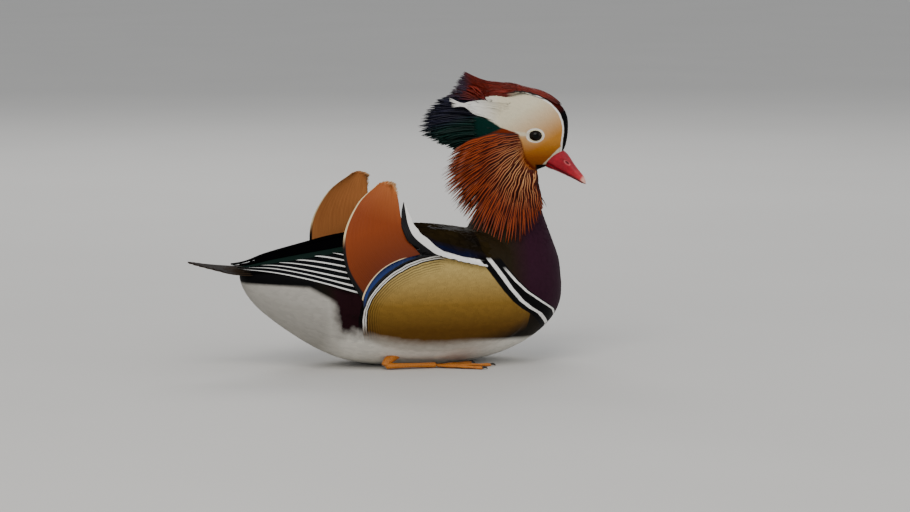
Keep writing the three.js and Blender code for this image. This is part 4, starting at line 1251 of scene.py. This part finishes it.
def billFinish():
    f = Finish("bill horn", Roughness=0.38, Specular_IOR_Level=0.35)
    x, y, z = f.position()
    d, h = headAlong(x, y) - bill["root"][0], z - bill["root"][1]
    c, s = math.cos(bill["slope"]), math.sin(bill["slope"])
    along, up = d * c + h * s, h * c - d * s
    clouds = f.noise(f.place, 0.35, 3)
    colour = f.blend(f.ramp(clouds, 0.3, 0.7), paint(128, 2, 22), paint(168, 8, 34))
    colour = f.blend(f.ramp(along, 14, 27) * 0.55, colour, paint(210, 56, 60))
    colour = f.blend(f.ramp(along, 24.6, 27.4) * f.ramp(up, -1.6, 0.2), colour, paint(236, 178, 160))
    mouth = f.along(along, mouthRun)
    colour = f.blend(f.ramp((up - mouth).size(), 0.75, 0.2) * 0.85, colour, paint(60, 6, 18))
    holeAlong, holeUp = (along - bill["nostril"][0]) / 2.0, (up - bill["nostril"][1]) / 0.85
    hole = holeAlong * holeAlong + holeUp * holeUp
    colour = f.blend(f.band(hole, 1.0, 2.6, 0.3) * 0.45, colour, paint(232, 110, 110))
    colour = f.blend(f.ramp(hole, 1.1, 0.6) * 0.7, colour, paint(70, 6, 20))
    return f.set(Base_Color=colour, Normal=f.bump(f.noise(f.place, 1.3, 4), 0.12, 0.2))


makeBill()
print("bill")

# Folded wings, sails and plumes.


def bladePiece(name, material, slot, blades, nodes=()):
    # blades, each a base, its points and its tone, joined as one piece
    bm = bmesh.new()
    for base, points, tone in blades:
        mesh = joined(name, base, points[None], tone=np.array([tone]))
        bm.from_mesh(mesh)
        bpy.data.meshes.remove(mesh)
    mesh = bpy.data.meshes.new(name)
    bm.to_mesh(mesh)
    bm.free()
    return asPiece(name, mesh, material, slot, *nodes)


def onRump(x, angle, lift):
    return shell(wingTip, 1, x, np.radians(angle), lift - 1.9)


# The lower edges of the folded primaries over the rump, from the lowest: angle at the hinge line, slope,
# curl, and where each feather ends. Above them lie two broader feathers: lower edge as x and angle, upper
# edge, end, lift and tone.
hingeX = -64
primaries = [(8.2, 0.18, 0.0006, -137), (12.8, 0.2, 0.0022, -133), (18.5, 0.169, 0.0041, -124),
             (24.5, 0.284, 0.0033, -111), (31.2, 0.36, 0.003, -98), (39, 0.5, 0.0035, -84),
             (47, 0.8, 0.001, -71)]
aboveAll = 54
upperVanes = [([(-141, 40), (-133, 41), (-70, 51.6), (-30, 58)], 68, -139, 0.1, 0.7),
              ([(-141, 56), (-92, 61), (-70, 62), (-30, 66)], 89, -141, 0.15, 1.0)]


def strip(base, x, low, high, lift, tone, side):
    # one long flight feather, between two lines over the rump, its lower edge lying on the next
    w, face = base["across"], base["face"]
    angle = low + (high - low) * (w + 1) / 2 * roundTip(base["t"], 0.72, 0.02)
    ridge = 0.3 * np.exp(-((w + 0.35) / 0.09) ** 2)
    over = mix(1.1, 0, (w + 1) / 2) + lift + np.where(face > 0, 0.45 + ridge, 0)
    points = onRump(x, angle, over)
    points[..., 1] *= side
    return base, points, tone


def primaryEdge(k, x):
    if k == len(primaries):
        return np.full(len(x), float(aboveAll))
    angle, slope, curl, _ = primaries[k]
    behind = hingeX - x
    return angle + slope * behind + curl * behind ** 2 * (behind > 0)


def flightVanes(side):
    made = []
    for k, (_, _, _, end) in enumerate(primaries):
        base = bladeBase(30, 8)
        x = mix(-54, end, base["t"])
        low, high = primaryEdge(k, x), primaryEdge(k + 1, x) + 4
        made.append(strip(base, x, low, high, 0.05 + 0.05 * k, k * 0.05, side))
    for run, high, end, lift, tone in upperVanes:
        base = bladeBase(34, 12)
        x = mix(-26, end, base["t"])
        made.append(strip(base, x, np.interp(x, *zip(*run)), high, lift, tone, side))
    return made


def flightFinish():
    f = Finish("flight feathers", Roughness=0.6, Specular_IOR_Level=0.0)
    t, w, tone = f.attribute("along"), f.attribute("across"), f.attribute("tone")
    f.position()
    colour = f.blend(f.noise(f.place, 0.08, 2), paint(10, 10, 13), paint(22, 24, 26))
    colour = f.blend(f.ramp(w, -0.56, -0.64) * f.ramp(w, -0.97, -0.9), colour, paint(232, 232, 228))
    colour = f.blend(f.ramp(tone, 0.5, 0.55), colour, plumes["slate"])
    colour = f.blend(f.ramp(tone, 0.8, 0.85), colour, plumes["black"])
    return f.set(Base_Color=colour, Normal=f.barbs(t * 190.0 + w.size() * 22.0, 0.3, 0.1))


speculum = {
    "inner": [(10.5, 37.6, 0), (-1, 35.6, 0), (-11.5, 32.3, 0), (-22.5, 27.2, 0), (-33.5, 20, 0),
              (-42, 11.8, 0), (-48, 4.4, 0), (-51.8, -3.2, 0)],
    "outer": [(2, 43, 0), (-6, 42.5, 0), (-17.5, 39.5, 0), (-30, 34.5, 0), (-42, 27, 0), (-50, 18, 0),
              (-56, 8, 0), (-58.5, -3, 0)],
}


def speculumBlade(side):
    # the wing's blue bar, between the sail and the flank's edge, from two runs of x and angle
    base = bladeBase(48, 12)
    t, w, face = base["t"], (base["across"] + 1) / 2, base["face"]
    inner, outer = (curve(speculum[key], t) for key in ("inner", "outer"))
    at = mix(inner, outer, (w * np.minimum(1, (1 - t) * 5 + 0.03))[:, None])
    points = onTrunk(at[:, 0], at[:, 1], 5)
    points[:, 1] *= side
    steps = 0.25 * (w * 3 - np.floor(w * 3))
    return base, drape(points, 0.75 + steps + 0.2 * face), 0.5


def speculumFinish():
    f = Finish("speculum feathers", Roughness=0.32, Specular_IOR_Level=0.35)
    t, w = f.attribute("along"), (f.attribute("across") + 1) * 0.5
    sheen = f.band(w, 0.24, 0.74, 0.05) * f.band(t, 0.26, 0.92, 0.06)
    return f.set(Base_Color=f.blend(sheen, plumes["black"], paint(16, 48, 112)),
                 Normal=f.barbs(t * 150.0 + w * 20.0, 0.35, 0.12))


sail = {
    "thick": 0.5, "topAside": 43, "fringe": 760,
    "rear": [(-53, 0, 57), (-65, 0, 80), (-66, 0, 106), (-54, 0, 130), (-37, 0, 144)],
    "front": [(-7, 0, 91), (-17, 0, 104), (-20.5, 0, 119), (-22, 0, 134), (-25, 0, 143.5)],
}


def sailAt(t, w):
    # t from the foot of the sail to its top, w from its rear edge to its front
    points = mix(curve(sail["rear"], t), curve(sail["front"], t), w[:, None])
    bow = np.sin(math.pi * np.clip(w, 0, 1) ** 0.75) * (1 - t) ** 3
    points[:, 0] -= 3 * bow
    points[:, 2] += 10.5 * bow + 2.2 * t * t * np.sin(math.pi * w)
    hollow = 3 * np.sin(math.pi * w) * (1 - t * 0.5)
    points[:, 1] = mix(mix(61, 57.5, w), sail["topAside"], t ** 1.2) + hollow
    return points


def sailBlade(side):
    base = bladeBase(72, 44)
    t, w, face = base["t"], (base["across"] + 1) / 2, base["face"]
    points = sailAt(t, w)
    points[:, 2] += 0.5 * np.sin(w * 46 + np.sin(w * 17) * 2) * clip01((t - 0.93) / 0.07)
    points[:, 1] += (face * sail["thick"]) / 2 + 0.1 * np.sin(w * 90 + t * 6)
    points[:, 1] *= side
    return base, points, 0.5


def sailFinish():
    f = Finish("sail feather", Roughness=0.55, Specular_IOR_Level=0.2)
    t, w = f.attribute("along"), (f.attribute("across") + 1) * 0.5
    f.position()
    colour = f.blend(f.ramp(t, 0.0, 0.45), paint(92, 33, 4), paint(134, 56, 10))
    colour = f.blend(f.ramp(t + w * 0.3, 0.7, 1.15) * 0.7, colour, paint(186, 108, 52))
    # the inner face, seen on the far sail, is painted paler: painted light that makes up for the shade on
    # that side
    colour = f.blend(f.ramp(f.attribute("face"), 0.2, -0.2) * 0.55, colour, paint(214, 146, 84))
    streaks = f.noise(f.node("CombineXYZ", None, {0: w * 60.0, 1: t * 3.0}), 1.0, 2)
    colour = f.blend(f.ramp(streaks, 0.35, 0.75) * 0.25, colour, paint(116, 44, 6))
    colour = f.blend(f.ramp(w, 0.04, 0.03) * f.ramp(t, 0.4, 0.5), colour, paint(226, 206, 160))
    colour = f.blend(f.ramp(w, 0.055, 0.04) * f.ramp(t, 0.5, 0.4), colour, plumes["black"])
    colour = f.blend(f.ramp(t, 0.03, 0.02) * f.ramp(w, 0.8, 0.7), colour, paint(230, 206, 164))
    return f.set(Base_Color=colour, Normal=f.barbs(w * 260.0 + t * 40.0, 0.3, 0.12))


def fringeLocks(side):
    # loose barbs along the top and the upper front edge
    n = sail["fringe"]
    onTop = spread(0, 1, n) < 0.6
    w = np.where(onTop, 1 - spread(0, 0.9, n) ** 1.4, spread(0.9, 1, n))
    t = np.where(onTop, spread(0.93, 1, n), spread(0.74, 1, n))
    start = sailAt(t, w)
    start[:, 1] *= side
    reach = mix(0.8, 4.6, clip01(w) ** 2) * np.where(onTop, 1, mix(0.2, 1, clip01((t - 0.74) * 4)))
    reach *= spread(0.5, 1.1, n)
    upward = unit(sailAt(t, w) - sailAt(t - 0.03, w)) * mix(1.0, 0.6, w)[:, None]
    ahead = unit(sailAt(t, w) - sailAt(t, w - 0.04)) * mix(0.0, 0.8, w)[:, None]
    way = unit((upward + ahead) * [1, side, 1] + rng.normal(0, 0.06, (n, 3)))
    halfway = start + way * (reach * 0.5)[:, None]
    paths = np.stack([start - way * 3, halfway, start + way * reach[:, None] + [0.5, 0, 0]], 1)
    outward = np.tile([[0.1, float(side), 0.2]], (n, 1))
    return paths, spread(0.1, 0.2, n), spread(0.06, 0.09, n), outward, None


def fringeFinish():
    f = Finish("sail fringe", Roughness=0.6, Specular_IOR_Level=0.2)
    colour = f.blend(f.ramp(f.attribute("along"), 0.3, 0.9), paint(184, 110, 54), paint(220, 182, 134))
    return f.set(Base_Color=colour)


plume = {
    "path": [(46.5, 60.5, 80.4), (26.9, 60.5, 84), (7.9, 59.5, 90), (-2.4, 58.5, 96.3), (-12, 56.5, 105),
             (-15.5, 53, 113.8), (-16.7, 50.5, 122.6), (-17.4, 48, 130.4)],
    "fore": [1.2, 4.2, 5.2, 5.6, 5.8, 4.4, 2.5, 0.2],
    "rear": [0.3, 0.3, 0.8, 3.6, 5.6, 5.2, 3.2, 0.2],
    "thick": 0.5,
}


def plumeBlade(side):
    base = bladeBase(70, 12)
    t, w, face = base["t"], base["across"], base["face"]
    way = heading(plume["path"], t)
    across = unit(np.cross([0.0, 1.0, 0.0], way))
    out = -np.cross(across, way)
    place = np.linspace(0, 1, len(plume["fore"]))
    half = np.where(w > 0, between(t, place, plume["fore"]), between(t, place, plume["rear"]))
    half = half * (1 + 0.06 * np.sin(t * 40 + w * 2))
    high = face * plume["thick"] / 2 + 0.4 * (1 - w * w)
    points = curve(plume["path"], t) + across * (w * half)[:, None] + out * high[:, None]
    points[:, 1] *= side
    settled = drape(points, 2.3 + face * 0.25)
    return base, mix(points, settled, clip01((0.38 - t) / 0.16)[:, None]), 0.5


def plumeFinish():
    f = Finish("plume feather", Roughness=0.55, Specular_IOR_Level=0.2)
    t, w = f.attribute("along"), f.attribute("across")
    colour = f.blend(f.ramp(w, -0.04, 0.04), plumes["black"], plumes["white"])
    return f.set(Base_Color=colour, Normal=f.barbs(t * 240.0 + w.size() * 16.0, 0.3, 0.12))


flightMaterial, speculumMaterial = flightFinish(), speculumFinish()
fringeMaterial, sailMaterial, plumeMaterial = fringeFinish(), sailFinish(), plumeFinish()
for name, side in bothSides:
    bladePiece("flight_" + name, flightMaterial, "wing_feathers", flightVanes(side), ["wing_" + name])
    bladePiece("speculum_" + name, speculumMaterial, "wing_feathers", [speculumBlade(side)])
    bladePiece("sail_feather_" + name, sailMaterial, "sail_feathers", [sailBlade(side)], ["sail_" + name])
    lockPiece("sail_fringe_" + name, fringeLocks(side), fringeMaterial, "sail_feathers", rings=4)
    bladePiece("plume_feather_" + name, plumeMaterial, "white_feathers", [plumeBlade(side)],
               ["plume_" + name])
print("wings")

# Tail.

tailCare = {"root": -120, "height": 79, "rise": 4.8, "length": 56, "spread": 16, "count": 12,
            "thick": 0.5}


def tailBlades():
    made = []
    for i in range(tailCare["count"]):
        out = 2 * i / (tailCare["count"] - 1) - 1
        fan = math.radians(tailCare["spread"] * out)
        reach = tailCare["length"] * (1 - 0.36 * abs(out) ** 1.5)
        shelf = -2.79 * abs(out) - 2.4 * out * out
        base = bladeBase(20, 6)
        t, w, face = base["t"], base["across"], base["face"]
        half = mix(3.0, 5.2, t) * roundTip(t, 0.5, 0.03) * w
        along = t * reach
        made.append((base, stack(
            tailCare["root"] - along * math.cos(fan) - half * math.sin(fan),
            9 * out + along * math.sin(fan) + half * math.cos(fan),
            tailCare["height"] + tailCare["rise"] * t * t + shelf - 0.5 * w * w
            + face * tailCare["thick"] / 2 + 0.3 * np.exp(-(w / 0.12) ** 2)), i / tailCare["count"]))
    return made


def tailFinish():
    f = Finish("tail feathers", Roughness=0.6, Specular_IOR_Level=0.03)
    t, w = f.attribute("along"), f.attribute("across")
    colour = f.blend(f.attribute("tone"), paint(24, 18, 14), paint(40, 30, 22))
    colour = f.blend(f.ramp(w.size(), 0.75, 1.0) * 0.5, colour, paint(70, 56, 42))
    return f.set(Base_Color=colour, Normal=f.barbs(t * 130.0 + w.size() * 20.0, 0.35, 0.12))


bladePiece("tail_feathers", tailFinish(), "tail_feathers", tailBlades(), ["tail"])

# Legs and feet.

leg = {"x": -30, "aside": 37, "toeX": 12, "floor": 0.05, "tips": [(44, -14), (56, 3), (45, 19)]}


def limb(path, widths, side, flat=1.0, sides=14, rings=26):
    # a rounded limb along a path, flattened from above
    base = sphereBase(sides, rings)
    t, turn = base["t"], base["turn"]
    way = heading(path, t)
    aside = unit(np.cross([0, 0, 1.0], way))
    up = np.cross(way, aside)
    size = between(t, np.linspace(0, 1, len(widths)), widths)
    size = size * np.where(base["pole"], 0, np.minimum(1, np.sin(math.pi * t) * 4))
    points = (curve(path, t) + aside * (size * np.cos(turn))[:, None]
              + up * (size * flat * np.sin(turn))[:, None])
    points[:, 2] = np.maximum(points[:, 2], leg["floor"])
    points[:, 1] *= side
    return base, points, 0.2


def webForm(inner, outer, side):
    base = bladeBase(18, 12)
    s, w, face = base["t"], (base["across"] + 1) / 2, base["face"]
    reach = s * (0.9 - 0.2 * np.sin(math.pi * w))
    points = stack(mix(leg["toeX"], mix(inner[0], outer[0], w), reach),
                   mix(leg["aside"], mix(inner[1], outer[1], w), reach) + (w - 0.5) * 0.8,
                   0.9 + face * 0.3 + 0.5 * (1 - s) + 0.12 * np.sin(w * 26) * s)
    points[:, 1] *= side
    return base, points, 0.7


def toe(tip, side, joints):
    hub = (leg["toeX"] - 1, leg["aside"], 2.0)
    swellings = [1.9] + [1.1, 1.5] * joints + [0.8]
    bend = (mix(hub[0], tip[0], 0.5), mix(hub[1], tip[1], 0.5) + 0.8, 1.9)
    return limb([hub, bend, (tip[0], tip[1], 1.3)], swellings, side, 0.85)


def claw(tip, side):
    x, y = tip
    path = [(x - 2.5, y, 1.6), (x, y, 1.9), (x + 2.2, y, 0.7)]
    return limb(path, [1.0, 0.85, 0.25], side, sides=8, rings=8)


def legFinish():
    f = Finish("leg skin", Roughness=0.5, Specular_IOR_Level=0.4)
    f.position()
    scales = f.node("TexVoronoi", {"feature": "DISTANCE_TO_EDGE"}, {"Vector": f.place, "Scale": 0.9})
    skin = f.blend(f.ramp(f.attribute("tone"), 0.4, 0.5), paint(204, 122, 34), paint(132, 74, 28))
    colour = f.blend(f.ramp(scales, 0.12, 0.0) * 0.6, skin, paint(110, 56, 18))
    return f.set(Base_Color=colour, Normal=f.bump(f.ramp(scales, 0, 0.15), 0.5, 0.2))


def clawFinish():
    f = Finish("claw horn", Roughness=0.4)
    f.position()
    return f.set(Base_Color=f.blend(f.noise(f.place, 0.8), paint(24, 18, 14), paint(46, 36, 26)))


def makeLeg(name, side, skin, horn):
    x, aside, toeX = leg["x"], leg["aside"], leg["toeX"]
    heel = (x, aside, 3.0)
    shank = [(x + 14, aside - 6, 13), (x + 3, aside - 1.5, 7), heel]
    tarsus = [heel, (mix(x, toeX, 0.5), aside + 0.5, 2.9), (toeX, aside, 2.4)]
    bladePiece("shank_" + name, skin, "leg",
               [limb(shank, [4, 3.6, 3.0, 2.7], side), limb(tarsus, [2.8, 2.1, 1.8, 1.9, 2.3], side)],
               ["leg_" + name])
    tips = [(tipX, aside + out) for tipX, out in leg["tips"]]
    toes = [toe(tip, side, joints) for tip, joints in zip(tips, (2, 3, 3))]
    toes.append(toe((toeX - 9, aside - 6), side, 1))
    webs = [webForm(inner, outer, side) for inner, outer in zip(tips, tips[1:])]
    bladePiece("webbed_foot_" + name, skin, "leg", toes + webs, ["foot_" + name])
    bladePiece("claws_" + name, horn, "leg", [claw(tip, side) for tip in tips])


legMaterial, clawMaterial = legFinish(), clawFinish()
for name, side in bothSides:
    makeLeg(name, side, legMaterial, clawMaterial)
print("legs")

# Floor, light and camera.

studio = {"azimuth": -15.5, "elevation": 6.5, "across": 35.1, "up": 82.7, "distance": 3.0, "lens": 152.1,
          "sky": (0.80, 0.82, 0.85, 1), "skyLight": 0.7}
lamps = [("key", (-0.9, -1.6, 1.9), (1.6, 1.6), 37, (1.0, 0.97, 0.93)),
         ("fill", (1.8, -1.2, 0.9), (1.5, 1.5), 10, (0.93, 0.96, 1.0)),
         ("rim", (0.3, 1.9, 1.5), (1.6, 0.8), 18, (1.0, 1.0, 1.0))]


def lightPanel(name, place, size, power, colour):
    lamp = bpy.data.lights.new(name, "AREA")
    lamp.shape = "RECTANGLE"
    lamp.size, lamp.size_y = size
    lamp.energy = power
    lamp.color = colour
    holder = bpy.data.objects.new(name, lamp)
    holder.location = place
    aim = Vector((0, 0, 0.1)) - Vector(place)
    holder.rotation_euler = aim.to_track_quat("-Z", "Y").to_euler()
    bpy.context.scene.collection.objects.link(holder)


def makeCamera():
    a, e = math.radians(studio["azimuth"]), math.radians(studio["elevation"])
    right = Vector((math.cos(a), math.sin(a), 0))
    back = Vector((math.sin(a) * math.cos(e), -math.cos(a) * math.cos(e), math.sin(e)))
    up = back.cross(right)
    aim = right * studio["across"] * mm + up * studio["up"] * mm
    camera = bpy.data.objects.new("camera", bpy.data.cameras.new("camera"))
    camera.data.sensor_width = 36
    camera.data.lens = studio["lens"]
    camera.location = aim + back * studio["distance"]
    camera.rotation_euler = (-back).to_track_quat("-Z", "Y").to_euler()
    bpy.context.scene.collection.objects.link(camera)
    bpy.context.scene.camera = camera


def makeFloor():
    bm = bmesh.new()
    bmesh.ops.create_grid(bm, x_segments=1, y_segments=1, size=30)
    mesh = bpy.data.meshes.new("floor")
    bm.to_mesh(mesh)
    bm.free()
    floor = bpy.data.objects.new("floor", mesh)
    f = Finish("floor", Roughness=0.9)
    f.position()
    grain = f.noise(f.place, 0.004, 2)
    mesh.materials.append(f.set(Base_Color=f.blend(grain, paint(196, 194, 190), paint(202, 200, 196))))
    bpy.context.scene.collection.objects.link(floor)


def makeSky():
    world = bpy.data.worlds.new("studio")
    world.use_nodes = True
    background = world.node_tree.nodes["Background"]
    background.inputs[0].default_value = studio["sky"]
    background.inputs[1].default_value = studio["skyLight"]
    bpy.context.scene.world = world


makeCamera()
makeFloor()
makeSky()
for lamp in lamps:
    lightPanel(*lamp)
print("studio")
